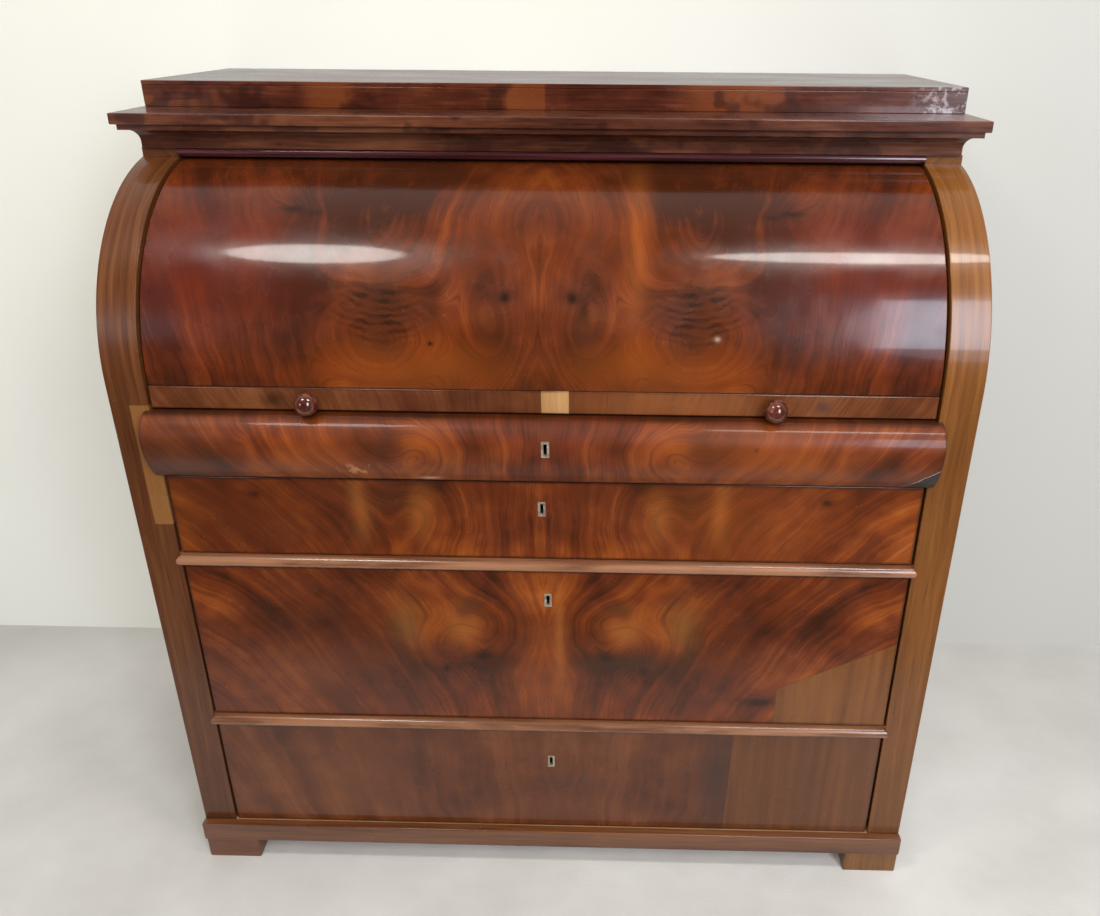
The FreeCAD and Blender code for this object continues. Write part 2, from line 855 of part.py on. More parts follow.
def lock(key_x, key_z, top_z, back_y, surface_y):
    """The iron lock with its bolt channel and key slot, and the liner set in the keyhole."""
    half = lock_width / 2
    case = board((-half, half), (back_y - lock_thickness, back_y), (key_z - lock_drop, top_z))
    case = case.cut(bolt_box(key_z, top_z, back_y, bolt_clearance))
    slot_x = (key_x - key_width / 2, key_x + key_width / 2)
    slot_z = (key_z - key_height / 2, key_z + key_height / 2)
    slot_y = (back_y - lock_thickness, back_y - lock_plate_thickness)
    case = case.cut(board(slot_x, slot_y, slot_z))
    wall = key_liner_wall
    liner_y = (surface_y - key_liner_proud, surface_y + key_liner_depth)
    liner = board((slot_x[0] - wall, slot_x[1] + wall), liner_y, (slot_z[0] - wall, slot_z[1] + wall))
    liner = liner.cut(board(slot_x, liner_y, slot_z))
    return [case, liner]


def belly_surface_y(z):
    """How far forward the bellied front stands at this height, above its widest line or below."""
    if z > belly_widest_z:
        radius = belly_radius(slide_edge_thickness_top, slide_front_top)
    else:
        radius = belly_radius(slide_edge_thickness_bottom, slide_front_bottom)
    return radius - belly_projection - sqrt(radius ** 2 - (z - belly_widest_z) ** 2)


# ---- Drawers ----

def drawer_front(z, key_x, key_z):
    top = z[1] - drawer_top_gap
    low = z[0] + drawer_running_gap
    front = board((-drawer_half, drawer_half), (0, drawer_front_thickness), (low, top))
    front = round_edges(front, edge_round, lambda edge: on_plane_y(edge, 0))
    return cut_for_lock(front, key_x, key_z, top, drawer_front_thickness, 0)


def drawer_box(z):
    """Two sides and a back."""
    low = z[0] + drawer_running_gap
    high = z[1] - drawer_side_drop
    outer = drawer_half - drawer_side_set_in
    inner = outer - drawer_side_thickness
    side = board((inner, outer), (drawer_front_thickness, drawer_length), (low, high))
    back = board((-inner, inner), (drawer_length - drawer_back_thickness, drawer_length), (low, high))
    return both_sides(side) + [back]


def drawer_bottom(z):
    half = drawer_half - drawer_side_set_in - drawer_side_thickness
    low = z[0] + drawer_running_gap + drawer_bottom_rise
    y = (drawer_front_thickness, drawer_length - drawer_back_thickness)
    return board((-half, half), y, (low, low + drawer_bottom_thickness))


def write_drawer(name, z, key_rise, key_x):
    key_z = z[0] + key_rise
    top = z[1] - drawer_top_gap
    back = drawer_front_thickness
    write_node(name + "_front", [drawer_front(z, key_x, key_z)])
    write_node(name + "_box", drawer_box(z))
    write_node(name + "_bottom", [drawer_bottom(z)])
    write_node(name + "_lock", lock(key_x, key_z, top, back, 0))
    write_node(name + "_bolt", [bolt_box(key_z, top, back, 0)])


# ---- The desk, from the floor up ----

os.makedirs("parts", exist_ok=True)

write_node("front_feet", both_sides(front_foot()))
write_node("rear_feet", both_sides(rear_foot()))
write_node("plinth_board", [plinth_board()])
write_node("base_rails", base_rails())
write_node("bottom_board", [bottom_board()])

write_node("front_post_right", [front_post()])
write_node("front_post_left", [mirrored(front_post())])
write_node("rear_posts", both_sides(rear_post()))
write_node("side_rails", side_rails())
write_node("side_panel_right", [side_panel()])
write_node("side_panel_left", [mirrored(side_panel())])
write_node("side_linings", both_sides(side_lining()))
write_node("pivot_blocks", both_sides(pivot_block()))
write_node("pivot_bushes", both_sides(pivot_bush()))

write_node("drawer_rails", [rail(z) for z in rail_levels()])
write_node("drawer_runners", runners())
write_node("dust_boards", dust_boards())
write_node("rail_mouldings", [rail_moulding(z) for z in rail_levels()[:2]])
write_node("back_boards", back_boards())

write_node("top_frame", top_frame())
write_node("top_bead", [top_bead()])
write_node("cornice_moulding", cornice_moulding())
write_node("top_board", [top_board()])
write_node("blocking_frame", blocking_frame())
write_node("blocking_panel", [blocking_panel()])

write_node("fitment_base", [fitment_base()])
write_node("fitment_uprights", fitment_uprights())
write_node("fitment_shelves", fitment_shelves())
write_node("fitment_back", [fitment_back()])
write_node("letter_drawer_right", letter_drawer())
write_node("letter_drawer_left", [mirrored(solid) for solid in letter_drawer()])
write_node("letter_knob_right", [letter_knob()])
write_node("letter_knob_left", [mirrored(letter_knob())])

write_node("lid_shell", [lid_shell()])
write_node("lid_rail", [lid_rail()])
write_node("lid_top_rail", [lid_top_rail()])
write_node("lid_cheeks", both_sides(lid_cheek()))
write_node("lid_pins", both_sides(lid_pin()))
write_node("lid_knobs", both_sides(knob()))

write_node("slide_front", [slide_front()])
write_node("slide_board", [slide_board()])
write_node("slide_leather", [slide_leather()])
write_node("slide_bearers", slide_bearers())
slide_surface_y = belly_surface_y(slide_key_z())
slide_lock = lock(slide_key_offset, slide_key_z(), slide_front_top, slide_core_thickness, slide_surface_y)
write_node("slide_lock", slide_lock)
write_node("slide_bolt", [bolt_box(slide_key_z(), slide_front_top, slide_core_thickness, 0)])

bottom_opening = (plinth_top, lower_rail_bottom)
middle_opening = (lower_rail_top, upper_rail_bottom)
top_opening = (upper_rail_top, slide_rail_bottom)
write_drawer("bottom_drawer", bottom_opening, bottom_key_rise, bottom_key_offset)
write_drawer("middle_drawer", middle_opening, middle_key_rise, middle_key_offset)
write_drawer("top_drawer", top_opening, top_key_rise, top_key_offset)
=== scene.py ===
import json
from math import atan2, hypot, pi, radians

import bmesh
import bpy
from mathutils import Matrix, Vector


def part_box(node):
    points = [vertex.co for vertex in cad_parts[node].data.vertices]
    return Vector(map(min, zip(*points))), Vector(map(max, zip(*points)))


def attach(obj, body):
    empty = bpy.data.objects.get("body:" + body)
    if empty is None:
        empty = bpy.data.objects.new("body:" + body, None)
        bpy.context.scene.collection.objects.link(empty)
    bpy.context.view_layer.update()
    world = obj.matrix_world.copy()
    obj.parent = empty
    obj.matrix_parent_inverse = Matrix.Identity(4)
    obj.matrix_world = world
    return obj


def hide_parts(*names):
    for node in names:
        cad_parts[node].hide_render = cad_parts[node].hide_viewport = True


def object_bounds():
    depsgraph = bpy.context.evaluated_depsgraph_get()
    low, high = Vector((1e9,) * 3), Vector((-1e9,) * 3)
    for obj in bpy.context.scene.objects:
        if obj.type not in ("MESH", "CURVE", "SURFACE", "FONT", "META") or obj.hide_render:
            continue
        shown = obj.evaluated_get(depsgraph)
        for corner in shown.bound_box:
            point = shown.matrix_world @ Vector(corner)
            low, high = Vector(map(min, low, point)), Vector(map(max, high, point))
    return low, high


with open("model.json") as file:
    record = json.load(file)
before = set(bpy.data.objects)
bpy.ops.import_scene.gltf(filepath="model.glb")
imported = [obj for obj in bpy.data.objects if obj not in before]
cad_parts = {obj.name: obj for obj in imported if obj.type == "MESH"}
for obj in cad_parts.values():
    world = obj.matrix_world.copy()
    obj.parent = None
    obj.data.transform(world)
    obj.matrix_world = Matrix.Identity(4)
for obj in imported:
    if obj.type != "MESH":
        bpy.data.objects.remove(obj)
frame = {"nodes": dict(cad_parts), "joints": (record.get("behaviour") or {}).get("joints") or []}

cad_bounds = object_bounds()

# ---- Camera ----
# A standing eye a good metre in front of the desk, looking down on its lid.

eye = Vector((0.0965, -1.3525, 1.269))
turn = radians(1.05)
tilt_down = radians(24.28)
lean = radians(0.44)
film_width_mm, focal_length_mm = 36.0, 29.8
shift_across, shift_up = -0.046, -0.029

camera_data = bpy.data.cameras.new("camera")
camera_data.sensor_width = film_width_mm
camera_data.lens = focal_length_mm
camera_data.shift_x = shift_across
camera_data.shift_y = shift_up
camera = bpy.data.objects.new("camera", camera_data)
camera.matrix_world = (
    Matrix.Translation(eye)
    @ Matrix.Rotation(turn, 4, "Z")
    @ Matrix.Rotation(pi / 2 - tilt_down, 4, "X")
    @ Matrix.Rotation(lean, 4, "Z")
)
bpy.context.scene.collection.objects.link(camera)
bpy.context.scene.camera = camera
bpy.context.scene.view_settings.view_transform = "Standard"


# ---- Studio: floor, backdrop and lights ----
# A pale dust sheet on the floor and a cream wall close behind the desk. The room beyond is dim, and
# the sheet from about half a metre in front of the desk is painted near-black in reflections only (a
# painted dark reflection), so the polish mirrors only the floor near the desk. The wall is seen only from
# the front.

class Finish:
    """The material of one finish, made up a node at a time. Each step gives the socket of its result."""

    def __init__(self, name):
        self.material = bpy.data.materials.new(name)
        self.material.use_nodes = True
        self.tree = self.material.node_tree
        self.shader = self.tree.nodes["Principled BSDF"]

    def feed(self, value, socket):
        if isinstance(value, bpy.types.NodeSocket):
            self.tree.links.new(value, socket)
        else:
            socket.default_value = value

    def math(self, operation, *values):
        node = self.tree.nodes.new("ShaderNodeMath")
        node.operation = operation
        for value, socket in zip(values, node.inputs):
            self.feed(value, socket)
        return node.outputs[0]

    def add(self, *values):
        total = values[0]
        for value in values[1:]:
            total = self.math("ADD", total, value)
        return total

    def times(self, first, second):
        return self.math("MULTIPLY", first, second)

    def minus(self, first, second):
        return self.math("SUBTRACT", first, second)

    def vector(self, x, y, z):
        node = self.tree.nodes.new("ShaderNodeCombineXYZ")
        for value, socket in zip((x, y, z), node.inputs):
            self.feed(value, socket)
        return node.outputs[0]

    def parts(self, vector):
        node = self.tree.nodes.new("ShaderNodeSeparateXYZ")
        self.feed(vector, node.inputs[0])
        return node.outputs[0], node.outputs[1], node.outputs[2]

    def place(self):
        """Where the point is in the desk, in metres."""
        return self.tree.nodes.new("ShaderNodeTexCoord").outputs["Object"]

    def along_surface(self):
        """The piece's own map: across the sheet, and up along it, in metres."""
        node = self.tree.nodes.new("ShaderNodeUVMap")
        node.uv_map = "sheet"
        return self.parts(node.outputs[0])[:2]

    def stretched(self, vector, scale):
        node = self.tree.nodes.new("ShaderNodeVectorMath")
        node.operation = "MULTIPLY"
        self.feed(vector, node.inputs[0])
        node.inputs[1].default_value = scale
        return node.outputs[0]

    def noise(self, vector, scale, detail=2.0, roughness=0.5, output="Fac"):
        node = self.tree.nodes.new("ShaderNodeTexNoise")
        self.feed(vector, node.inputs["Vector"])
        node.inputs["Scale"].default_value = scale
        node.inputs["Detail"].default_value = detail
        node.inputs["Roughness"].default_value = roughness
        return node.outputs[output]

    def grain(self, vector, counts, detail=2.0, roughness=0.5):
        """Noise with so many changes a metre each way."""
        return self.noise(self.stretched(vector, counts), 1.0, detail, roughness)

    def streaks(self, across, along, counts, seed, detail=2.0, roughness=0.5):
        """Noise with so many changes a metre across the sheet and along it."""
        sheet = self.vector(self.times(across, counts[0]), self.times(along, counts[1]), seed)
        return self.noise(sheet, 1.0, detail, roughness)

    def span(self, value, low, high, to_low=0.0, to_high=1.0):
        """Spreads low..high smoothly over to_low..to_high."""
        node = self.tree.nodes.new("ShaderNodeMapRange")
        node.interpolation_type = "SMOOTHSTEP"
        for number, socket in zip((value, low, high, to_low, to_high), node.inputs):
            self.feed(number, socket)
        return node.outputs[0]

    def spot(self, x, y, centre, size):
        """1 at a centre, falling softly to 0 at about one and a half times its size."""
        dx = self.math("DIVIDE", self.minus(x, centre[0]), size[0])
        dy = self.math("DIVIDE", self.minus(y, centre[1]), size[1])
        square = self.add(self.times(dx, dx), self.times(dy, dy))
        return self.math("EXPONENT", self.times(square, -1.0))

    def ramp(self, value, stops):
        node = self.tree.nodes.new("ShaderNodeValToRGB")
        self.feed(value, node.inputs[0])
        for _ in stops[2:]:
            node.color_ramp.elements.new(1.0)
        for element, (position, colour) in zip(node.color_ramp.elements, stops):
            element.position = position
            element.color = (*colour, 1.0)
        return node.outputs[0]

    def mix(self, share, first, second, blend="MIX"):
        node = self.tree.nodes.new("ShaderNodeMix")
        node.data_type = "RGBA"
        node.blend_type = blend
        self.feed(share, node.inputs[0])
        for value, socket in ((first, node.inputs[6]), (second, node.inputs[7])):
            self.feed(value if isinstance(value, bpy.types.NodeSocket) else (*value, 1.0), socket)
        return node.outputs[2]

    def relief(self, *layers):
        """Stacks bumps of (height, depth in metres)."""
        normal = None
        for height, depth in layers:
            node = self.tree.nodes.new("ShaderNodeBump")
            node.inputs["Distance"].default_value = depth
            self.feed(height, node.inputs["Height"])
            if normal:
                self.feed(normal, node.inputs["Normal"])
            normal = node.outputs[0]
        self.feed(normal, self.shader.inputs["Normal"])

    def colour(self, value):
        self.feed(value, self.shader.inputs["Base Color"])

    def set(self, **values):
        for name, value in values.items():
            self.feed(value, self.shader.inputs[name.replace("_", " ")])


def new_piece(name, bm, material):
    """Makes a bmesh an object of this name and finish, at the origin."""
    mesh = bpy.data.meshes.new(name)
    bm.to_mesh(mesh)
    bm.free()
    mesh.materials.append(material)
    piece = bpy.data.objects.new(name, mesh)
    bpy.context.scene.collection.objects.link(piece)
    return piece


def dust_sheet():
    finish = Finish("dust_sheet")
    place = finish.place()
    y = finish.parts(place)[1]
    folds = finish.noise(place, 2.2, 4.0, 0.55)
    weave = finish.noise(place, 260.0, 2.0)
    pale = finish.ramp(folds, [(0.3, (0.52, 0.505, 0.47)), (0.7, (0.68, 0.665, 0.635))])
    # Painted dark reflection: from about half a metre in front of the desk the sheet turns near-black, for
    # glossy rays only.
    painted_dark_reflection = finish.span(y, -0.90, -0.68, 0.97, 0.0)
    mirrored = finish.tree.nodes.new("ShaderNodeLightPath").outputs["Is Glossy Ray"]
    finish.colour(finish.mix(finish.times(painted_dark_reflection, mirrored), pale, (0.03, 0.028, 0.026)))
    finish.set(Roughness=0.9)
    finish.relief((folds, 0.02), (weave, 0.0004))
    return finish.material


floor_radius = 3.4
bm = bmesh.new()
bmesh.ops.create_circle(bm, cap_ends=True, segments=96, radius=floor_radius)
floor = new_piece("floor", bm, dust_sheet())

wall_gap = 0.004
wall_half = 4.0
wall_height = 3.2


def wall_paint():
    finish = Finish("wall_paint")
    place = finish.place()
    paint = finish.ramp(finish.noise(place, 1.5, 3.0),
                        [(0.3, (0.62, 0.61, 0.55)), (0.7, (0.68, 0.675, 0.615))])
    shaded = finish.span(finish.parts(place)[0], -0.1, 0.9, 0.0, 1.0)
    finish.colour(finish.mix(shaded, paint, (0.40, 0.395, 0.365)))
    finish.set(Roughness=0.85)
    finish.set(Emission_Color=(0.62, 0.61, 0.56, 1.0), Emission_Strength=0.27)
    away = finish.tree.nodes.new("ShaderNodeNewGeometry").outputs["Backfacing"]
    clear = finish.tree.nodes.new("ShaderNodeBsdfTransparent").outputs[0]
    choice = finish.tree.nodes.new("ShaderNodeMixShader")
    finish.feed(away, choice.inputs[0])
    finish.feed(finish.shader.outputs[0], choice.inputs[1])
    finish.feed(clear, choice.inputs[2])
    output = finish.tree.nodes["Material Output"]
    finish.feed(choice.outputs[0], output.inputs["Surface"])
    return finish.material


bm = bmesh.new()
bmesh.ops.create_grid(bm, x_segments=1, y_segments=1, size=1.0)
bmesh.ops.scale(bm, vec=(wall_half, wall_height / 2, 1.0), verts=bm.verts)
bmesh.ops.rotate(bm, matrix=Matrix.Rotation(pi / 2, 3, "X"), verts=bm.verts)
bmesh.ops.translate(bm, vec=(0, cad_bounds[1][1] + wall_gap, wall_height / 2), verts=bm.verts)
wall = new_piece("wall", bm, wall_paint())
wall.visible_shadow = False
wall.visible_diffuse = False
wall.visible_glossy = False


def soft_light(name, place, aim_y, aim_z, size, power, colour, shape="ELLIPSE"):
    """A lamp square to the desk in plan, tipped to face a point at a depth and height."""
    light = bpy.data.lights.new(name, "AREA")
    light.shape = shape
    light.size, light.size_y = size
    light.energy = power
    light.color = colour
    lamp = bpy.data.objects.new(name, light)
    aim = Vector((place[0], aim_y, aim_z))
    lamp.rotation_euler = (aim - Vector(place)).to_track_quat("-Z", "Y").to_euler()
    lamp.location = place
    bpy.context.scene.collection.objects.link(lamp)
    return lamp


warm_white = (1.0, 0.96, 0.90)
day_blue = (0.78, 0.86, 1.0)
soft_light("ceiling_right", (0.88, -1.0, 2.6), -0.2, 0.8, (0.98, 0.24), 15.0, warm_white)
soft_light("ceiling_left", (-0.885, -1.05, 2.6), -0.2, 0.8, (0.58, 0.42), 14.0, warm_white)
soft_light("window_right", (1.82, -3.1, 2.1), 0.0, 0.8, (1.0, 1.7), 58.0, day_blue, "RECTANGLE")
soft_light("window_right_curtain", (1.90, -3.2, 2.0), 0.0, 0.8, (1.5, 2.4), 26.0, day_blue)
soft_light("window_left", (-2.62, -3.1, 1.7), 0.0, 0.8, (0.7, 1.2), 18.0, day_blue)
fill = soft_light("fill", (0.3, -2.3, 2.5), 0.0, 0.7, (3.0, 1.6), 58.0, warm_white)
fill.visible_glossy = False

dim_front = (0.045, 0.042, 0.042, 1.0)
pale_behind = (0.70, 0.69, 0.65, 1.0)
pale_seen = (0.62, 0.61, 0.57, 1.0)
front_edge, behind_edge = -0.45, 0.35
room = bpy.data.worlds.new("room")
bpy.context.scene.world = room
room.use_nodes = True
nodes = room.node_tree.nodes
links = room.node_tree.links
direction = nodes.new("ShaderNodeTexCoord").outputs["Generated"]
split = nodes.new("ShaderNodeSeparateXYZ")
links.new(direction, split.inputs[0])
behind = nodes.new("ShaderNodeMapRange")
behind.interpolation_type = "SMOOTHSTEP"
links.new(split.outputs[1], behind.inputs[0])
behind.inputs[1].default_value = front_edge
behind.inputs[2].default_value = behind_edge
tone = nodes.new("ShaderNodeMix")
tone.data_type = "RGBA"
links.new(behind.outputs[0], tone.inputs[0])
tone.inputs[6].default_value = dim_front
tone.inputs[7].default_value = pale_behind
seen = nodes.new("ShaderNodeMix")
seen.data_type = "RGBA"
links.new(nodes.new("ShaderNodeLightPath").outputs["Is Camera Ray"], seen.inputs[0])
links.new(tone.outputs[2], seen.inputs[6])
seen.inputs[7].default_value = pale_seen
links.new(seen.outputs[2], nodes["Background"].inputs[0])
nodes["Background"].inputs[1].default_value = 1.0


# ---- Inside woods ----
# The parts that the polish never reached: rails, runners, drawer boxes and back boards are
# sawn softwood, planed by hand and gone brown with age. These are the frame's own nodes.

x_axis, y_axis, z_axis = 0, 1, 2


def grain_scale(axis, along, across):
    return tuple(along if each == axis else across for each in (x_axis, y_axis, z_axis))


def plain_wood(name, dark, light, axis, roughness, coat=0.0, patches=0.5, pores=0.35):
    """Straight-grained wood with its grain along an axis of the desk."""
    finish = Finish(name)
    place = finish.place()
    bend = finish.noise(place, 3.0, 2.0, output="Color")
    warped = finish.tree.nodes.new("ShaderNodeVectorMath")
    warped.operation = "MULTIPLY_ADD"
    finish.feed(bend, warped.inputs[0])
    warped.inputs[1].default_value = (0.02, 0.02, 0.02)
    finish.feed(place, warped.inputs[2])
    place = warped.outputs[0]
    bands = finish.grain(place, grain_scale(axis, 1.3, 38.0), 4.0, 0.6)
    fine = finish.grain(place, grain_scale(axis, 12.0, 420.0), 2.0)
    broad = finish.noise(place, 4.0, 3.0)
    tone = finish.add(
        finish.times(bands, 0.6),
        finish.times(fine, 0.4 - 0.2 * patches),
        finish.times(broad, 0.2 * patches),
    )
    base = finish.ramp(tone, [(0.34, dark), (0.66, light)])
    pore = finish.span(fine, 0.30, 0.42, pores, 0.0)
    finish.colour(finish.mix(pore, base, tuple(part * 0.35 for part in dark)))
    finish.set(Roughness=finish.span(broad, 0.3, 0.7, roughness - 0.07, roughness + 0.07))
    finish.set(Coat_Weight=coat, Coat_Roughness=0.12)
    finish.relief((bands, 0.0004), (fine, 0.00012))
    return finish.material


old_pine_x = plain_wood("old_pine_x", (0.24, 0.105, 0.040), (0.46, 0.25, 0.11), x_axis, 0.72)
old_pine_y = plain_wood("old_pine_y", (0.23, 0.100, 0.038), (0.44, 0.24, 0.105), y_axis, 0.72)
old_pine_z = plain_wood("old_pine_z", (0.17, 0.076, 0.031), (0.36, 0.192, 0.086), z_axis, 0.75)


def dress(finish, *names):
    """Puts a finish in the material slots of the frame's own nodes."""
    for name in names:
        for slot in frame["nodes"][name].material_slots:
            slot.material = finish


dress(old_pine_x, "base_rails", "bottom_board", "dust_boards", "top_frame")
dress(old_pine_x, "top_drawer_bottom", "middle_drawer_bottom", "bottom_drawer_bottom", "fitment_back")
dress(old_pine_y, "drawer_runners", "top_drawer_box", "middle_drawer_box", "bottom_drawer_box")
dress(old_pine_y, "slide_bearers")
dress(old_pine_z, "back_boards", "side_linings", "pivot_blocks")


# ---- Feet ----
# Four square blocks glued under the base. Those on the right are later and of a lighter wood,
# with upright grain and little polish.

def ease_edges(bm, edges, ease):
    """Rounds edges over a small radius and gives the new faces."""
    return bmesh.ops.bevel(bm, geom=edges, offset=ease, offset_type="OFFSET", affect="EDGES",
                           segments=3, profile=0.5, material=-1)["faces"]


def board_mesh(bm, low, high, ease):
    """Adds a board between two corners, with its edges eased."""
    low, high = Vector(low), Vector(high)
    made = bmesh.ops.create_cube(bm, size=1.0)["verts"]
    bmesh.ops.scale(bm, vec=high - low, verts=made)
    bmesh.ops.translate(bm, vec=(low + high) / 2, verts=made)
    edges = list(dict.fromkeys(edge for vert in made for edge in vert.link_edges))
    for face in ease_edges(bm, edges, ease):
        face.smooth = True


def settle(piece, body, slot, *nodes):
    """Fixes a piece to its body and hides the nodes it stands for; the slot is not used."""
    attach(piece, body)
    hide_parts(*nodes)


foot_wood = plain_wood("foot_wood", (0.10, 0.035, 0.006), (0.23, 0.094, 0.019), z_axis, 0.48, 0.15)
old_foot_wood = plain_wood("old_foot_wood", (0.085, 0.026, 0.011), (0.20, 0.070, 0.030), x_axis, 0.42, 0.25)
foot_ease = 0.0022
foot_width = 0.084
for row in ("front_feet", "rear_feet"):
    low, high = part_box(row)
    bm = bmesh.new()
    board_mesh(bm, low, (low.x + foot_width, high.y, high.z), foot_ease)
    settle(new_piece(row + "_left_block", bm, old_foot_wood), "carcass", "foot_wood", row)
    bm = bmesh.new()
    board_mesh(bm, (high.x - foot_width, low.y, low.z), high, foot_ease)
    settle(new_piece(row + "_right_block", bm, foot_wood), "carcass", "foot_wood", row)


# ---- Plinth ----
# One straight board across the front, rubbed over at its edges and polished red-brown.

plain_x = plain_wood("plain_x", (0.070, 0.020, 0.007), (0.20, 0.072, 0.024), x_axis, 0.32, 0.35)
plain_y = plain_wood("plain_y", (0.075, 0.022, 0.008), (0.20, 0.075, 0.028), y_axis, 0.36, 0.45)
plain_z = plain_wood("plain_z", (0.075, 0.025, 0.009), (0.20, 0.08, 0.03), z_axis, 0.34, 0.45)
plinth_ease = 0.0015
dress(plain_x, "drawer_rails")


def eased_board(name, node, finish, ease, body, slot):
    """A board that fills a node's box."""
    low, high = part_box(node)
    bm = bmesh.new()
    board_mesh(bm, low, high, ease)
    settle(new_piece(name, bm, finish), body, slot, node)


eased_board("plinth", "plinth_board", plain_x, plinth_ease, "carcass", "plain_veneer")


# ---- Front posts ----
# Each post is solid below and built up of curved blocks above, faced with one long strip of
# veneer that runs straight up and then back over the top. The left one carries a paler repair.

hinge = Vector(frame["joints"][0]["pos_m"])
arc_steps = 64


sharp = radians(60)
crease = radians(40)


def shade(bm, eased=(), limit=crease):
    """Shades curves smooth, with a crease round the eased edges so that flats stay flat up to them."""
    eased = set(eased)
    for face in bm.faces:
        face.smooth = True
    for edge in bm.edges:
        meets_ease = len({face in eased for face in edge.link_faces}) == 2
        edge.smooth = not meets_ease and edge.calc_face_angle(0.0) < limit


def about_hinge(co):
    """A point's radius about the lid's hinge, and its angle: 0 is forward and a right angle is up."""
    return hypot(co.y - hinge.y, co.z - hinge.z), atan2(co.z - hinge.z, hinge.y - co.y)


def points(geom):
    """The points among what an operator gives back."""
    return [item for item in geom if isinstance(item, bmesh.types.BMVert)]


def set_map(bm, place):
    """Writes the piece's own map, across and along the sheet in metres."""
    layer = bm.loops.layers.uv.new("sheet")
    for face in bm.faces:
        for loop in face.loops:
            loop[layer].uv = place(loop.vert.co)


def cut_with(piece, cutter, operation):
    """Joins or cuts a piece with another solid, which is then thrown away."""
    modifier = piece.modifiers.new("cut", "BOOLEAN")
    modifier.operation = operation
    modifier.solver = "EXACT"
    modifier.object = cutter
    shape = bpy.data.meshes.new_from_object(piece.evaluated_get(bpy.context.evaluated_depsgraph_get()))
    piece.modifiers.clear()
    piece.data = shape
    bpy.data.objects.remove(cutter)


def post_veneer(name, dark, middle, light, redness):
    finish = Finish(name)
    across, along = finish.along_surface()
    sheet = finish.vector(across, along, 0.0)
    drift = finish.grain(sheet, (9.0, 2.0, 1.0), 2.0)
    line = finish.add(across, finish.times(drift, 0.03))
    bands = finish.streaks(line, along, (95.0, 1.6), 0.0, 4.0, 0.62)
    hair = finish.streaks(line, along, (900.0, 14.0), 0.0)
    broad = finish.grain(sheet, (6.0, 3.0, 1.0), 3.0)
    tone = finish.add(finish.times(bands, 0.5), finish.times(hair, 0.2),
                      finish.times(broad, 0.3))
    base = finish.ramp(tone, [(0.34, dark), (0.5, middle), (0.66, light)])
    low_down = finish.span(along, 0.1, 1.0, 0.55, 0.0)
    base = finish.mix(low_down, base, redness, "MULTIPLY")
    if name == "post_veneer_left":
        inner_half = finish.span(across, 0.024, 0.026, 1.0, 0.0)
        above = finish.span(along, 0.626, 0.628)
        below = finish.span(along, 0.803, 0.805, 1.0, 0.0)
        repair = finish.times(inner_half, finish.times(above, below))
        base = finish.mix(finish.times(repair, 0.7), base, (0.27, 0.115, 0.032))
    pore = finish.span(hair, 0.30, 0.40, 0.4, 0.0)
    finish.colour(finish.mix(pore, base, tuple(part * 0.4 for part in dark)))
    finish.set(Roughness=finish.span(broad, 0.3, 0.7, 0.22, 0.34), Coat_Weight=0.35, Coat_Roughness=0.07)
    finish.set(Specular_IOR_Level=0.28)
    finish.relief((bands, 0.00015), (hair, 0.00004), (broad, 0.0010))
    return finish.material


post_finishes = {
    "front_post_right": post_veneer("post_veneer_right", (0.10, 0.033, 0.006), (0.175, 0.062, 0.012),
                                    (0.27, 0.105, 0.024), (0.62, 0.52, 0.50)),
    "front_post_left": post_veneer("post_veneer_left", (0.050, 0.014, 0.004), (0.100, 0.031, 0.009),
                                   (0.18, 0.066, 0.019), (0.70, 0.62, 0.62)),
}
post_ease = 0.0011
post_depth = 0.042
seat_drop = 0.0135
for node, veneer in post_finishes.items():
    low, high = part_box(node)
    foot = low.z
    front = low.y
    outer_radius = hinge.y - front
    bm = bmesh.new()
    corners = [(low.x, front), (high.x, front), (high.x, front + post_depth), (low.x, front + post_depth)]
    bottom = bm.faces.new([bm.verts.new((x, y, foot)) for x, y in corners])
    raised = bmesh.ops.extrude_face_region(bm, geom=[bottom], use_keep_orig=True)["geom"]
    top = [item for item in raised if isinstance(item, bmesh.types.BMFace)]
    bmesh.ops.translate(bm, vec=(0, 0, hinge.z - foot), verts=points(raised))
    bmesh.ops.spin(bm, geom=top, cent=hinge, axis=(1, 0, 0), angle=-pi / 2, steps=arc_steps)
    bmesh.ops.delete(bm, geom=top, context="FACES_ONLY")
    bmesh.ops.recalc_face_normals(bm, faces=bm.faces)
    long_edges = [edge for edge in bm.edges
                  if len(edge.link_faces) == 2 and edge.calc_face_angle() > sharp]
    shade(bm, ease_edges(bm, long_edges, post_ease))
    inner_x = min(abs(low.x), abs(high.x))

    def along_post(co):
        radius, angle = about_hinge(co)
        if co.z < hinge.z:
            return abs(co.x) - inner_x + co.y - front, co.z
        return abs(co.x) - inner_x + outer_radius - radius, hinge.z + outer_radius * angle

    set_map(bm, along_post)
    post = new_piece(node.replace("front_post", "post"), bm, veneer)
    seat_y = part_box("cornice_moulding")[0].y + 0.026
    bm = bmesh.new()
    board_mesh(bm, (low.x, seat_y, high.z - seat_drop), (high.x, hinge.y, high.z), post_ease / 4)
    set_map(bm, along_post)
    cut_with(post, new_piece("seat", bm, veneer), "UNION")
    settle(post, "carcass", "plain_veneer", node)


# ---- Sides ----
# Each side is a panel between the posts and two rails, all flush, veneered and polished. Its
# front edge follows the inside of the curved post.

def thicken(bm, way):
    """Draws a flat outline out into a solid."""
    made = bmesh.ops.extrude_face_region(bm, geom=bm.faces[:], use_keep_orig=True)["geom"]
    bmesh.ops.translate(bm, vec=way, verts=points(made))
    bmesh.ops.recalc_face_normals(bm, faces=bm.faces)


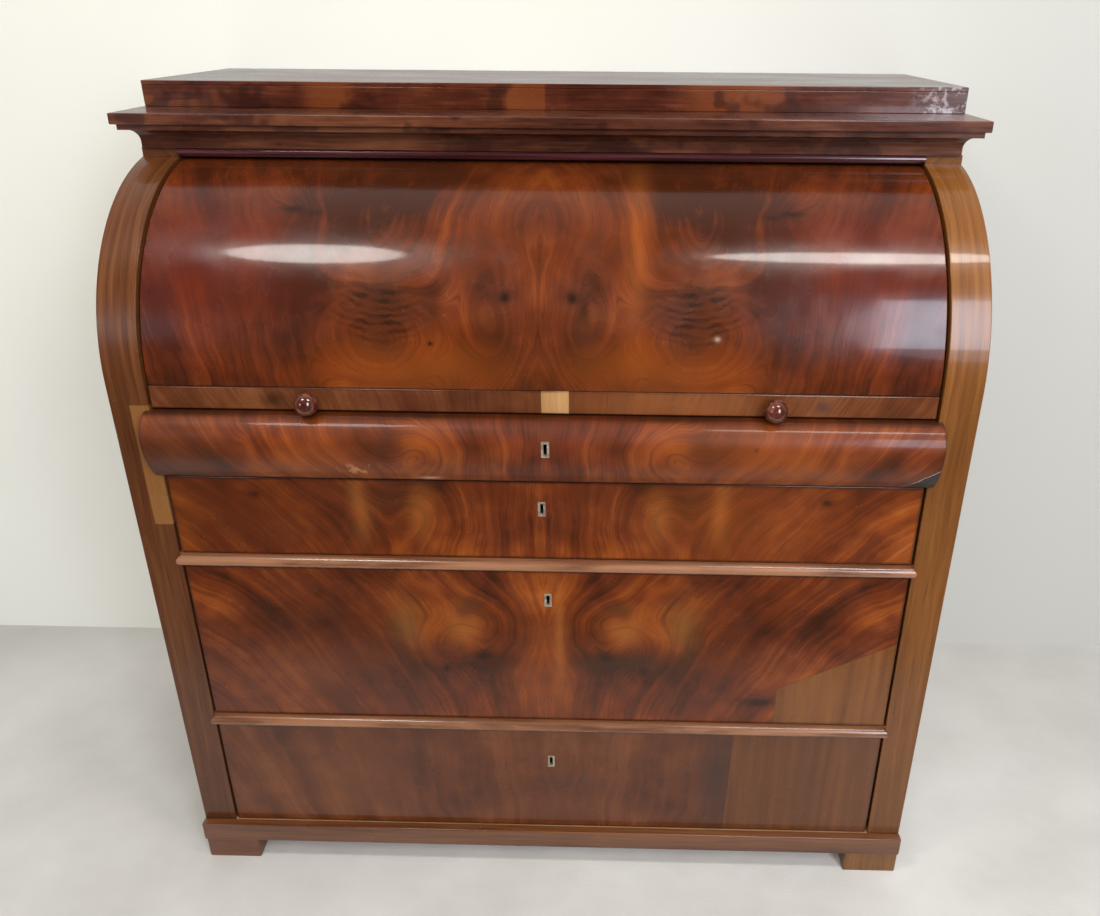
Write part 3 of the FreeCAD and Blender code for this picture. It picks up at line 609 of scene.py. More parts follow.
for node in ("side_panel_right", "side_panel_left"):
    low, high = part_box(node)
    bm = bmesh.new()
    start = bm.verts.new((low.x, low.y, hinge.z))
    curve = bmesh.ops.spin(bm, geom=[start], cent=hinge, axis=(1, 0, 0), angle=-pi / 2, steps=arc_steps)
    end = points(curve["geom_last"])[0]
    rest = [bm.verts.new((low.x, y, z)) for y, z in ((high.y, high.z), (high.y, low.z), (low.y, low.z))]
    for first, second in zip([end] + rest, rest + [start]):
        bm.edges.new((first, second))
    bmesh.ops.contextual_create(bm, geom=bm.edges)
    thicken(bm, (high.x - low.x, 0, 0))
    settle(new_piece(node.replace("panel", "board"), bm, plain_z), "carcass", "plain_veneer", node)
dress(plain_y, "side_rails")
dress(plain_z, "rear_posts")


# ---- Mouldings between the drawers ----
# Half-round strips glued on the rails, mitred and returned to a point at each end. Their crowns
# are painted paler in patches: partly polish rubbed through to a paler wood, partly a painted highlight.

moulding_proud = 0.0112
moulding_height = 0.018


def moulding_finish():
    finish = Finish("moulding_polish")
    place = finish.place()
    y = finish.parts(place)[1]
    fine = finish.grain(place, (9.0, 300.0, 300.0), 3.0)
    patches = finish.grain(place, (7.0, 40.0, 40.0), 3.0)
    base = finish.ramp(finish.add(finish.times(fine, 0.4), finish.times(patches, 0.6)),
                       [(0.32, (0.085, 0.028, 0.012)), (0.68, (0.26, 0.105, 0.045))])
    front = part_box("rail_mouldings")[0].y
    # Paler patches along the front of the crown: partly wear, partly a painted highlight.
    crown = finish.span(y, front, front + 0.004, 0.6, 0.0)
    worn_and_highlight = finish.times(crown, finish.span(patches, 0.35, 0.6))
    finish.colour(finish.mix(worn_and_highlight, base, (0.38, 0.17, 0.08)))
    finish.set(Roughness=finish.span(patches, 0.3, 0.7, 0.22, 0.36), Coat_Weight=0.5, Coat_Roughness=0.10)
    finish.relief((fine, 0.0001), (patches, 0.0008))
    return finish.material


def half_round(bm, half_length, middle_z, back_y, reach):
    """A half-round strip along X with its flat face back."""
    foot = bm.verts.new((-half_length, back_y, middle_z - reach[1]))
    arc = bmesh.ops.spin(bm, geom=[foot], cent=(0, back_y, middle_z), axis=(1, 0, 0), angle=-pi, steps=24)
    bm.edges.new((foot, points(arc["geom_last"])[0]))
    bmesh.ops.scale(bm, vec=(1, reach[0] / reach[1], 1), space=Matrix.Translation((0, -back_y, 0)),
                    verts=bm.verts)
    bmesh.ops.contextual_create(bm, geom=bm.edges[:])
    thicken(bm, (2 * half_length, 0, 0))


low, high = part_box("rail_mouldings")
moulding_polish = moulding_finish()
bm = bmesh.new()
for middle_z in (low.z + moulding_height / 2, high.z - moulding_height / 2):
    strip = bmesh.new()
    reach = (moulding_proud, moulding_height / 2)
    half_round(strip, high.x, middle_z, high.y, reach)
    outline = bmesh.new()
    shoulder = high.x - moulding_proud
    plan = [outline.verts.new((shoulder, high.y, middle_z - reach[1]))]
    bmesh.ops.spin(outline, geom=plan, cent=(shoulder, high.y, middle_z), axis=(0, 1, 0), angle=-pi,
                   steps=16)
    bmesh.ops.scale(outline, vec=(moulding_proud / reach[1], 1, 1),
                    space=Matrix.Translation((-shoulder, 0, 0)), verts=outline.verts)
    bmesh.ops.mirror(outline, geom=outline.verts[:] + outline.edges[:], axis="X", merge_dist=-1.0)
    loose = [vert for vert in outline.verts if len(vert.link_edges) == 1]
    for height in (-1, 1):
        pair = [vert for vert in loose if (vert.co.z - middle_z) * height > 0]
        outline.edges.new(pair)
    bmesh.ops.contextual_create(outline, geom=outline.edges[:])
    thicken(outline, (0, -2 * moulding_proud, 0))
    bmesh.ops.translate(outline, vec=(0, moulding_proud / 2, 0), verts=outline.verts)
    length = new_piece("strip", strip, moulding_polish)
    cut_with(length, new_piece("outline", outline, moulding_polish), "INTERSECT")
    bm.from_mesh(length.data)
    bpy.data.objects.remove(length)
bmesh.ops.remove_doubles(bm, verts=bm.verts, dist=1e-5)
bmesh.ops.dissolve_degenerate(bm, dist=1e-6, edges=bm.edges)
shade(bm, limit=radians(30))
mouldings = new_piece("half_round_mouldings", bm, moulding_polish)
settle(mouldings, "carcass", "plain_veneer", "rail_mouldings")


# ---- Drawer fronts ----
# Softwood boards faced with pairs of bookmatched leaves of figured veneer, french polished. Each
# has a keyhole, and a pocket behind it for the lock. The figure swings round small knots, and
# old damage has been made good with plainer pieces let in.

deep_brown = (0.038, 0.0085, 0.0025)
red_brown = (0.125, 0.023, 0.0045)
orange_brown = (0.255, 0.058, 0.0075)
gold_brown = (0.400, 0.130, 0.022)
knot_black = (0.010, 0.004, 0.002)


class Leaf:
    """A bookmatched pair of leaves: each step adds to the lines of growth or to their colour."""

    def __init__(self, finish, across, up, seam, seed):
        self.finish = finish
        self.across, self.up = across, up
        away = finish.math("ABSOLUTE", finish.minus(across, seam))
        place = finish.vector(away, up, seed)
        shift = finish.noise(place, 7.0, 3.0, output="Color")
        red, green, _ = finish.parts(shift)
        self.u = finish.math("MULTIPLY_ADD", red, 0.05, finish.minus(away, 0.025))
        self.v = finish.math("MULTIPLY_ADD", green, 0.05, finish.minus(up, 0.025))
        self.away = away
        self.lines = self.u
        self.seed = seed
        self.base = None

    def fold(self, axis):
        """A crotch: the lines stand the same on both sides of its axis."""
        finish = self.finish
        du = finish.minus(self.u, axis)
        self.lines = finish.math("SQRT", finish.math("MULTIPLY_ADD", du, du, 0.0003))

    def leaning(self, amount, pivot_height):
        """The lines spread outwards as they rise."""
        rise = self.finish.minus(self.v, pivot_height)
        bent = self.finish.times(self.finish.times(self.lines, rise), -amount)
        self.lines = self.finish.add(self.lines, bent)

    def arch(self, centre, size, rise):
        """Nested arches round a fork: a rise above 0 closes them at the top, below 0 at the foot."""
        finish = self.finish
        near = finish.spot(self.u, self.v, centre, size)
        du = finish.minus(self.u, centre[0])
        blunt = finish.math("SQRT", finish.math("MULTIPLY_ADD", du, du, 0.0002))
        dv = finish.minus(self.v, centre[1])
        arches = finish.math("MULTIPLY_ADD", dv, rise, finish.add(blunt, centre[0]))
        gap = finish.minus(arches, self.lines)
        self.lines = finish.math("MULTIPLY_ADD", gap, near, self.lines)

    def eye(self, centre, size):
        """The lines part round a knot."""
        near = self.finish.spot(self.u, self.v, centre, (size * 2.2, size * 2.8))
        self.lines = self.finish.math("MULTIPLY_ADD", near, size * 2.0, self.lines)

    def paint(self, stops, contrast=1.5):
        """Turns the lines into colour: broad bands, stripes and hair lines."""
        finish = self.finish
        lines, v = self.lines, self.v
        broad = finish.streaks(lines, v, (26.0, 2.5), self.seed, 3.0, 0.6)
        self.stripes = finish.streaks(lines, v, (130.0, 5.0), self.seed, 3.0, 0.6)
        self.hair = finish.streaks(lines, v, (800.0, 26.0), self.seed)
        self.cloud = finish.noise(finish.vector(self.away, self.up, self.seed), 9.0, 3.0, 0.6)
        tone = finish.add(finish.times(broad, 0.34 * contrast),
                          finish.times(self.stripes, 0.18 * contrast),
                          finish.times(self.hair, 0.12 * contrast),
                          finish.times(self.cloud, 0.48 * contrast),
                          0.5 - 0.56 * contrast)
        self.base = finish.ramp(tone, stops)

    def stain_and_painted_light(self, centre, size, colour, strength):
        """A patch of another colour with an uneven edge, on both leaves: mostly stains in the wood, but on
        the lid also a painted shade band and a painted reflection.
        """
        near = self.finish.spot(self.u, self.v, centre, size)
        share = self.finish.times(near, strength)
        self.base = self.finish.mix(share, self.base, colour)

    def mark(self, centre, size, colour, strength):
        """A patch of another colour at one place only."""
        near = self.finish.spot(self.across, self.up, centre, size)
        share = self.finish.times(near, strength)
        self.base = self.finish.mix(share, self.base, colour)

    def feather(self, centre, size, strength):
        """Dark ripples across the fork."""
        finish = self.finish
        near = finish.spot(self.u, self.v, centre, size)
        du = finish.minus(self.u, centre[0])
        bowed = finish.math("MULTIPLY_ADD", finish.times(du, du), -6.0, self.v)
        uneven = finish.noise(finish.vector(self.u, self.v, self.seed), 38.0, 3.0, 0.6)
        wave = finish.math("SINE", finish.add(finish.times(bowed, 560.0),
                                              finish.times(uneven, 9.0)))
        dark = finish.times(finish.span(wave, -0.8, 1.0), finish.span(near, 0.10, 0.75))
        breaks = finish.noise(finish.vector(self.u, self.v, self.seed + 2.0), 45.0, 3.0)
        broken = finish.span(breaks, 0.30, 0.62)
        dark = finish.times(dark, broken)
        self.base = finish.mix(finish.times(dark, strength), self.base, (0.016, 0.006, 0.003))

    def let_in(self, mask, stops):
        """A piece of plainer veneer let in, with its own upright grain and a dark joint round it."""
        finish = self.finish
        grain = finish.streaks(self.across, self.up, (60.0, 2.0), self.seed + 3.0, 5.0, 0.65)
        self.base = finish.mix(mask, self.base, finish.ramp(grain, stops))
        joint = finish.times(mask, finish.minus(1.0, mask))
        self.base = finish.mix(finish.times(joint, 2.6), self.base, (0.02, 0.007, 0.003))

    def polish(self, rim=None, coat=0.38, dull=0.0):
        """French polish over the sheet: glossy, not quite flat, dirt in the pores and along the rim."""
        finish = self.finish
        pore = finish.span(self.hair, 0.28, 0.40, 0.35, 0.0)
        base = finish.mix(pore, self.base, deep_brown)
        if rim:
            dirt = finish.times(rim, finish.span(self.cloud, 0.3, 0.6, 0.35, 0.8))
            base = finish.mix(dirt, base, (0.022, 0.008, 0.004))
        finish.colour(base)
        smear = finish.noise(finish.vector(self.across, self.up, self.seed + 9.0), 14.0, 4.0, 0.6)
        finish.set(Roughness=finish.span(smear, 0.3, 0.7, 0.19 + dull, 0.32 + dull))
        finish.set(Coat_Weight=coat, Coat_Roughness=0.07, Specular_IOR_Level=0.25)
        wave = finish.noise(finish.vector(self.across, self.up, self.seed + 5.0), 11.0, 2.0)
        finish.relief((wave, 0.0016), (self.stripes, 0.00012), (self.hair, 0.00005))
        return finish.material


def edge_rim(finish, across, up, box, width):
    """1 along the four edges of a front, falling to 0 a little way in."""
    low, high = box
    sideways = finish.minus(high.x, finish.math("ABSOLUTE", across))
    upright = finish.math("MINIMUM", finish.minus(up, low.z), finish.minus(high.z, up))
    return finish.span(finish.math("MINIMUM", sideways, upright), 0.0, width, 1.0, 0.0)


veneer_stops = [(0.32, deep_brown), (0.49, red_brown), (0.66, orange_brown), (0.86, gold_brown)]


def top_drawer_veneer():
    finish = Finish("top_drawer_veneer")
    x, _, z = finish.parts(finish.place())
    leaf = Leaf(finish, x, z, -0.005, 1.3)
    leaf.leaning(2.6, 0.63)
    leaf.arch((0.203, 0.655), (0.085, 0.065), -0.75)
    leaf.eye((0.39, 0.678), 0.006)
    leaf.paint(veneer_stops)
    leaf.stain_and_painted_light((0.245, 0.66), (0.014, 0.05), gold_brown, 0.45)
    leaf.stain_and_painted_light((0.155, 0.65), (0.018, 0.04), gold_brown, 0.35)
    leaf.stain_and_painted_light((0.203, 0.668), (0.022, 0.030), (0.045, 0.016, 0.005), 0.7)
    leaf.stain_and_painted_light((0.05, 0.68), (0.05, 0.03), red_brown, 0.5)
    leaf.stain_and_painted_light((0.39, 0.678), (0.0075, 0.006), knot_black, 0.95)
    leaf.mark((-0.43, 0.64), (0.16, 0.08), (0.075, 0.015, 0.003), 0.7)
    leaf.mark((0.28, 0.64), (0.12, 0.08), orange_brown, 0.35)
    return leaf.polish(edge_rim(finish, x, z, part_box("top_drawer_front"), 0.005))


def middle_drawer_veneer():
    finish = Finish("middle_drawer_veneer")
    x, _, z = finish.parts(finish.place())
    leaf = Leaf(finish, x, z, -0.002, 4.7)
    leaf.leaning(2.6, 0.50)
    leaf.arch((0.124, 0.455), (0.070, 0.055), 0.95)
    leaf.eye((0.085, 0.410), 0.010)
    leaf.eye((0.145, 0.388), 0.008)
    leaf.paint(veneer_stops, 1.45)
    leaf.stain_and_painted_light((0.118, 0.462), (0.024, 0.026), gold_brown, 0.45)
    leaf.stain_and_painted_light((0.118, 0.505), (0.020, 0.012), (0.075, 0.030, 0.008), 0.55)
    leaf.stain_and_painted_light((0.205, 0.47), (0.026, 0.045), (0.16, 0.075, 0.020), 0.55)
    leaf.stain_and_painted_light((0.30, 0.47), (0.055, 0.06), deep_brown, 0.45)
    leaf.stain_and_painted_light((0.215, 0.38), (0.05, 0.035), deep_brown, 0.35)
    leaf.stain_and_painted_light((0.085, 0.410), (0.013, 0.009), knot_black, 0.95)
    leaf.stain_and_painted_light((0.143, 0.388), (0.007, 0.010), knot_black, 0.9)
    leaf.mark((0.13, 0.405), (0.07, 0.020), (0.040, 0.018, 0.008), 0.7)
    leaf.mark((0.315, 0.337), (0.026, 0.008), knot_black, 0.9)
    leaf.mark((0.02, 0.45), (0.008, 0.09), gold_brown, 0.45)
    leaf.stain_and_painted_light((0.0, 0.43), (0.05, 0.14), orange_brown, 0.35)
    leaf.mark((-0.35, 0.38), (0.18, 0.12), (0.070, 0.020, 0.007), 0.45)
    corner = finish.times(finish.minus(x, 0.341), 0.52)
    under = finish.span(finish.minus(finish.add(corner, 0.363), z), -0.0008, 0.0008)
    beyond = finish.span(x, 0.3395, 0.341)
    leaf.let_in(finish.times(under, beyond),
                [(0.32, (0.11, 0.034, 0.007)), (0.68, (0.20, 0.070, 0.016))])
    return leaf.polish(edge_rim(finish, x, z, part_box("middle_drawer_front"), 0.005))


def bottom_drawer_veneer():
    finish = Finish("bottom_drawer_veneer")
    x, _, z = finish.parts(finish.place())
    leaf = Leaf(finish, x, z, 0.02, 8.1)
    leaf.leaning(0.8, 0.27)
    leaf.paint([(0.28, (0.050, 0.013, 0.004)), (0.5, (0.108, 0.028, 0.008)),
                (0.74, (0.180, 0.055, 0.015))], 1.4)
    leaf.mark((-0.20, 0.20), (0.014, 0.10), deep_brown, 0.6)
    leaf.mark((-0.30, 0.17), (0.06, 0.06), (0.155, 0.048, 0.018), 0.4)
    leaf.mark((0.262, 0.17), (0.032, 0.14), (0.040, 0.018, 0.011), 0.8)
    edge = finish.math("MULTIPLY_ADD", z, 0.03, 0.2745)
    beyond = finish.span(finish.minus(x, edge), -0.0008, 0.0008)
    leaf.let_in(beyond, [(0.30, (0.080, 0.024, 0.007)), (0.70, (0.155, 0.052, 0.015))])
    leaf.mark((0.40, 0.18), (0.03, 0.08), (0.08, 0.029, 0.012), 0.4)
    return leaf.polish(edge_rim(finish, x, z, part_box("bottom_drawer_front"), 0.005))


front_ease = 0.0012
keyhole_half = (0.00525, 0.011)
key_offsets = {"slide": 0.0069, "top_drawer": -0.0018, "middle_drawer": 0.0042, "bottom_drawer": 0.0043}
lock_half = 0.030
lock_depth = 0.011
lock_drop = 0.018


def lock_place(lock):
    """The keyhole's height, from the node of its lock: the case starts a set drop below the key."""
    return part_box(lock)[0].z + lock_drop


def cut_box(piece, low, high, finish, operation="DIFFERENCE"):
    """Cuts a box out of a piece, or joins one to it."""
    bm = bmesh.new()
    board_mesh(bm, low, high, 0.0)
    cut_with(piece, new_piece("box", bm, finish), operation)


def open_for_lock(piece, owner, finish, front_y, back_y, top_z):
    """Cuts the keyhole through a front and the pocket for the lock out of its back."""
    key_x = key_offsets[owner]
    key_z = lock_place(owner + "_lock")
    half_x, half_z = keyhole_half
    spare = 0.002
    cut_box(piece, (key_x - half_x, front_y - spare, key_z - half_z),
            (key_x + half_x, back_y, key_z + half_z), finish)
    cut_box(piece, (-lock_half, back_y - lock_depth, key_z - lock_drop),
            (lock_half, back_y + spare, top_z + spare), finish)


drawer_finishes = {
    "top_drawer": top_drawer_veneer(),
    "middle_drawer": middle_drawer_veneer(),
    "bottom_drawer": bottom_drawer_veneer(),
}
for drawer, veneer in drawer_finishes.items():
    node = drawer + "_front"
    low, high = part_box(node)
    bm = bmesh.new()
    board_mesh(bm, low, high, front_ease)
    front = new_piece(drawer + "_veneered_front", bm, veneer)
    open_for_lock(front, drawer, veneer, low.y, high.y, high.z)
    settle(front, drawer, "figured_veneer", node)


# ---- Locks ----
# Iron locks let into the backs of the fronts, and a small rectangular nickel liner in each
# keyhole. Case, liner and bolt are the frame's own nodes.

def lock_metal(name, front_y):
    finish = Finish(name)
    place = finish.place()
    y = finish.parts(place)[1]
    blotch = finish.noise(place, 160.0, 4.0, 0.65)
    iron = finish.ramp(blotch, [(0.35, (0.035, 0.028, 0.024)), (0.65, (0.10, 0.075, 0.058))])
    liner = finish.ramp(blotch, [(0.35, (0.26, 0.20, 0.13)), (0.65, (0.56, 0.48, 0.38))])
    outside = finish.span(y, front_y + 0.0055, front_y + 0.006, 1.0, 0.0)
    finish.colour(finish.mix(outside, iron, liner))
    finish.set(Metallic=0.55, Roughness=finish.span(blotch, 0.3, 0.7, 0.35, 0.6))
    finish.relief((blotch, 0.0002))
    return finish.material


for owner in ("slide", "top_drawer", "middle_drawer", "bottom_drawer"):
    metal = lock_metal(owner + "_lock_metal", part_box(owner + "_lock")[0].y)
    dress(metal, owner + "_lock", owner + "_bolt")


# ---- Writing slide ----
# A bellied front, wide enough to lap over the posts, hides the edge of a pull-out writing board
# with a tooled leather skiver. The front's veneer is chipped away at its lower right corner.

slide_low, slide_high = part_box("slide_front")


def slide_veneer():
    finish = Finish("slide_veneer")
    x, _, z = finish.parts(finish.place())
    leaf = Leaf(finish, x, z, 0.007, 6.2)
    leaf.leaning(2.0, 0.74)
    leaf.arch((0.197, 0.755), (0.075, 0.050), -0.7)
    leaf.eye((0.395, 0.765), 0.006)
    leaf.paint(veneer_stops)
    leaf.stain_and_painted_light((0.197, 0.765), (0.020, 0.022), (0.045, 0.014, 0.004), 0.65)
    leaf.stain_and_painted_light((0.087, 0.768), (0.016, 0.014), deep_brown, 0.6)
    leaf.stain_and_painted_light((0.27, 0.755), (0.04, 0.04), orange_brown, 0.4)
    leaf.mark((0.275, 0.768), (0.003, 0.003), knot_black, 0.95)
    leaf.mark((0.45, 0.75), (0.010, 0.014), deep_brown, 0.8)
    leaf.mark((0.30, 0.76), (0.12, 0.04), orange_brown, 0.35)
    leaf.mark((0.03, 0.77), (0.03, 0.03), (0.10, 0.016, 0.005), 0.5)
    leaf.mark((-0.46, 0.75), (0.06, 0.05), (0.07, 0.022, 0.008), 0.6)
    ragged = finish.times(finish.noise(finish.vector(x, z, 2.0), 90.0, 3.0), 0.010)
    slope = finish.math("MULTIPLY_ADD", finish.minus(x, 0.466), 0.80, 0.703)
    lost = finish.span(finish.minus(finish.add(slope, ragged), z), 0.0040, 0.0060)
    leaf.base = finish.mix(lost, leaf.base, (0.022, 0.014, 0.012))
    rim_of_loss = finish.times(lost, finish.minus(1.0, lost))
    leaf.base = finish.mix(finish.times(rim_of_loss, 3.5), leaf.base, (0.50, 0.36, 0.26))
    leaf.mark((-0.147, 0.712), (0.014, 0.0035), (0.50, 0.27, 0.16), 0.9)
    flakes = finish.span(finish.noise(finish.vector(x, z, 4.0), 75.0, 3.0, 0.7), 0.52, 0.60)
    loose = finish.times(finish.spot(x, z, (-0.240, 0.727), (0.024, 0.010)), flakes)
    leaf.base = finish.mix(finish.times(loose, 0.8), leaf.base, (0.42, 0.20, 0.09))
    return leaf.polish(edge_rim(finish, x, z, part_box("slide_front"), 0.004), 0.16, 0.16)


front_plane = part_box("front_post_right")[0].y
edge_top, edge_bottom = 0.008, 0.007
front_crease = radians(38)
post_gap = 0.0005
belly_out = front_plane - slide_low.y
belly_height = slide_high.z - slide_low.z
widest_share = 0.64
widest_z = slide_low.z + widest_share * belly_height


def flatten_y(bm, verts, y):
    """Presses points flat at one depth."""
    bmesh.ops.scale(bm, vec=(1, 0, 1), verts=verts)
    bmesh.ops.translate(bm, vec=(0, y, 0), verts=verts)


def belly_sheet(bm, edge_thickness, edge_z):
    """Sweeps the line of greatest swelling up or down to an edge of the front."""
    run = belly_out - edge_thickness
    rise = abs(edge_z - widest_z)
    radius = (run ** 2 + rise ** 2) / (2 * run)
    angle = atan2(rise, radius - run)
    line = bm.edges.new([bm.verts.new((x, slide_low.y, widest_z)) for x in (slide_low.x, slide_high.x)])
    centre = (0, slide_low.y + radius, widest_z)
    way = -1 if edge_z > widest_z else 1
    bmesh.ops.spin(bm, geom=[line], cent=centre, axis=(1, 0, 0), angle=way * angle, steps=20)


slide_finish = slide_veneer()
bm = bmesh.new()
belly_sheet(bm, edge_top, slide_high.z)
belly_sheet(bm, edge_bottom, slide_low.z)
bmesh.ops.remove_doubles(bm, verts=bm.verts, dist=1e-6)
back = bmesh.ops.extrude_face_region(bm, geom=bm.faces[:], use_keep_orig=True)["geom"]
flatten_y(bm, points(back), front_plane - post_gap)
bmesh.ops.recalc_face_normals(bm, faces=bm.faces)
rims = [edge for edge in bm.edges if edge.calc_face_angle(0.0) > crease
        and all(vert.co.y < front_plane - 2 * post_gap for vert in edge.verts)]
shade(bm, ease_edges(bm, rims, front_ease), front_crease)
slide_piece = new_piece("slide_bellied_front", bm, slide_finish)
drawer_low, drawer_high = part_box("top_drawer_front")
rail_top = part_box("drawer_rails")[1].z
cut_box(slide_piece, (drawer_low.x, front_plane - post_gap - 0.002, rail_top + 0.001),
        (drawer_high.x, slide_high.y, slide_high.z), slide_finish, "UNION")
open_for_lock(slide_piece, "slide", slide_finish, slide_low.y, slide_high.y, slide_high.z)
settle(slide_piece, "slide", "figured_veneer", "slide_front")


def skiver():
    """Dark red-brown leather with a blind-tooled line near its edge."""
    finish = Finish("skiver")
    place = finish.place()
    x, y, _ = finish.parts(place)
    pebble = finish.noise(place, 900.0, 2.0)
    hide = finish.noise(place, 60.0, 3.0)
    base = finish.ramp(hide, [(0.3, (0.055, 0.016, 0.010)), (0.7, (0.12, 0.036, 0.020))])
    low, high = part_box("slide_leather")
    middle_y = (low.y + high.y) / 2
    half_y = (high.y - low.y) / 2
    in_x = finish.minus(high.x, finish.math("ABSOLUTE", x))
    in_y = finish.minus(half_y, finish.math("ABSOLUTE", finish.minus(y, middle_y)))
    inset = finish.math("MINIMUM", in_x, in_y)
    line = finish.spot(inset, 0.0, (0.018, 0.0), (0.0012, 1.0))
    finish.colour(finish.mix(finish.times(line, 0.8), base, (0.30, 0.19, 0.07)))
    finish.set(Roughness=finish.span(hide, 0.3, 0.7, 0.42, 0.6), Coat_Weight=0.1, Coat_Roughness=0.3)
    finish.relief((pebble, 0.00015), (hide, 0.0002), (line, -0.0003))
    return finish.material


dress(skiver(), "slide_leather")
dress(plain_y, "slide_board")


# ---- Lid ----
# A rigid quarter-round shell of coopered staves faced with figured veneer, a flat rail along its
# lower edge, a cheek at each end on an iron pin, and two turned knobs to lift it by.

shell_low, shell_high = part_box("lid_shell")
shell_ease = 0.0012


def lid_veneer():
    finish = Finish("lid_veneer")
    x, up = finish.along_surface()
    leaf = Leaf(finish, x, up, -0.003, 2.4)
    leaf.fold(0.200)
    leaf.leaning(1.3, 0.16)
    leaf.arch((0.200, 0.075), (0.060, 0.075), -0.8)
    leaf.arch((0.060, 0.115), (0.045, 0.085), 0.25)
    leaf.eye((0.326, 0.24), 0.012)
    leaf.eye((0.045, 0.12), 0.012)
    leaf.paint([(0.40, deep_brown), (0.61, red_brown), (0.85, orange_brown), (1.00, gold_brown)], 1.8)
    # Painted reflection: a purplish veil of reflected window light on both ends of the lid.
    plum_reflection = (0.095, 0.013, 0.008)
    leaf.stain_and_painted_light((0.43, 0.16), (0.12, 0.10), plum_reflection, 0.75)
    # Painted shade: a dark band across the whole top of the lid, under the bead and cornice.
    leaf.stain_and_painted_light((0.24, 0.37), (0.32, 0.075), (0.050, 0.013, 0.005), 0.65)
    leaf.stain_and_painted_light((0.062, 0.070), (0.026, 0.048), (0.040, 0.010, 0.003), 0.8)
    leaf.stain_and_painted_light((0.200, 0.110), (0.042, 0.060), (0.045, 0.012, 0.003), 0.65)
    leaf.feather((0.200, 0.100), (0.044, 0.052), 0.8)
    leaf.stain_and_painted_light((0.03, 0.24), (0.09, 0.12), (0.085, 0.018, 0.004), 0.35)
    leaf.stain_and_painted_light((0.15, 0.020), (0.12, 0.035), orange_brown, 0.55)
    leaf.stain_and_painted_light((0.326, 0.243), (0.014, 0.007), knot_black, 0.85)
    leaf.stain_and_painted_light((0.302, 0.236), (0.010, 0.004), knot_black, 0.6)
    leaf.stain_and_painted_light((0.045, 0.122), (0.007, 0.008), knot_black, 0.92)
    leaf.mark((0.055, 0.100), (0.006, 0.016), knot_black, 0.6)
    leaf.mark((-0.139, 0.058), (0.0035, 0.003), knot_black, 0.9)
    leaf.mark((0.122, 0.20), (0.016, 0.14), (0.34, 0.085, 0.012), 0.35)
    leaf.mark((0.222, 0.068), (0.004, 0.003), (0.40, 0.27, 0.20), 0.7)
    return leaf.polish()


bm = bmesh.new()
start_angle, shell_top_angle = radians(-0.448), radians(88)
outer, inner = 0.256, 0.240
stave = bmesh.ops.create_grid(bm, x_segments=1, y_segments=1, size=0.5)["verts"]
bmesh.ops.scale(bm, vec=(shell_high.x - shell_low.x, outer - inner, 1), verts=stave)
bmesh.ops.translate(bm, vec=(0, hinge.y - (outer + inner) / 2, hinge.z), verts=stave)
bmesh.ops.rotate(bm, cent=hinge, matrix=Matrix.Rotation(-start_angle, 3, "X"), verts=stave)
bmesh.ops.spin(bm, geom=bm.faces[:], cent=hinge, axis=(1, 0, 0), angle=start_angle - shell_top_angle,
               steps=96)
bmesh.ops.recalc_face_normals(bm, faces=bm.faces)
rims = [edge for edge in bm.edges if edge.calc_face_angle(0.0) > sharp
        and all(about_hinge(vert.co)[0] > (outer + inner) / 2 for vert in edge.verts)]
shade(bm, ease_edges(bm, rims, shell_ease), front_crease)
set_map(bm, lambda co: (co.x, outer * about_hinge(co)[1]))
shell = new_piece("lid_veneered_shell", bm, lid_veneer())
settle(shell, "lid", "figured_veneer", "lid_shell")


def lid_rail_veneer():
    finish = Finish("lid_rail_veneer")
    x, _, z = finish.parts(finish.place())
    leaf = Leaf(finish, x, z, -0.003, 3.3)
    leaf.leaning(1.5, 0.8)
    leaf.paint([(0.30, (0.045, 0.012, 0.005)), (0.5, (0.115, 0.032, 0.010)),
                (0.72, (0.24, 0.080, 0.024))], 1.4)
    leaf.mark((-0.345, 0.815), (0.016, 0.014), knot_black, 0.7)
    leaf.mark((-0.19, 0.815), (0.05, 0.03), (0.09, 0.022, 0.010), 0.5)
    leaf.mark((0.36, 0.815), (0.010, 0.010), (0.05, 0.03, 0.03), 0.7)
    leaf.mark((0.16, 0.815), (0.13, 0.03), (0.26, 0.085, 0.024), 0.6)
    patch = finish.times(finish.span(x, -0.0005, 0.0005), finish.span(x, 0.0355, 0.0365, 1.0, 0.0))
    leaf.let_in(patch, [(0.30, (0.32, 0.16, 0.055)), (0.70, (0.46, 0.25, 0.10))])
    return leaf.polish(edge_rim(finish, x, z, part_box("lid_rail"), 0.003))


rail_finish = lid_rail_veneer()
rail_low, rail_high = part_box("lid_rail")
rail_ease = 0.0016
bm = bmesh.new()
board_mesh(bm, rail_low, rail_high, rail_ease)
rail = new_piece("lid_veneered_rail", bm, rail_finish)
bolt_low, bolt_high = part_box("slide_bolt")
mortise_spare = 0.0015
mortise_depth = 0.011
cut_box(rail, (bolt_low.x - mortise_spare, bolt_low.y - mortise_spare, rail_low.z - 0.004),
        (bolt_high.x + mortise_spare, bolt_high.y + mortise_spare, rail_low.z + mortise_depth), rail_finish)
settle(rail, "lid", "figured_veneer", "lid_rail")
dress(plain_x, "lid_top_rail")
dress(plain_z, "lid_cheeks")


def knob_polish():
    finish = Finish("knob_polish")
    place = finish.place()
    rings = finish.grain(place, (60.0, 400.0, 60.0), 3.0)
    wear = finish.noise(place, 120.0, 3.0)
    base = finish.ramp(rings, [(0.3, (0.030, 0.006, 0.003)), (0.7, (0.12, 0.024, 0.011))])
    finish.colour(finish.mix(finish.span(wear, 0.55, 0.7, 0.0, 0.5), base, (0.24, 0.07, 0.028)))
    finish.set(Roughness=finish.span(wear, 0.3, 0.7, 0.14, 0.3), Coat_Weight=0.8, Coat_Roughness=0.06)
    finish.relief((rings, 0.00008))
    return finish.material


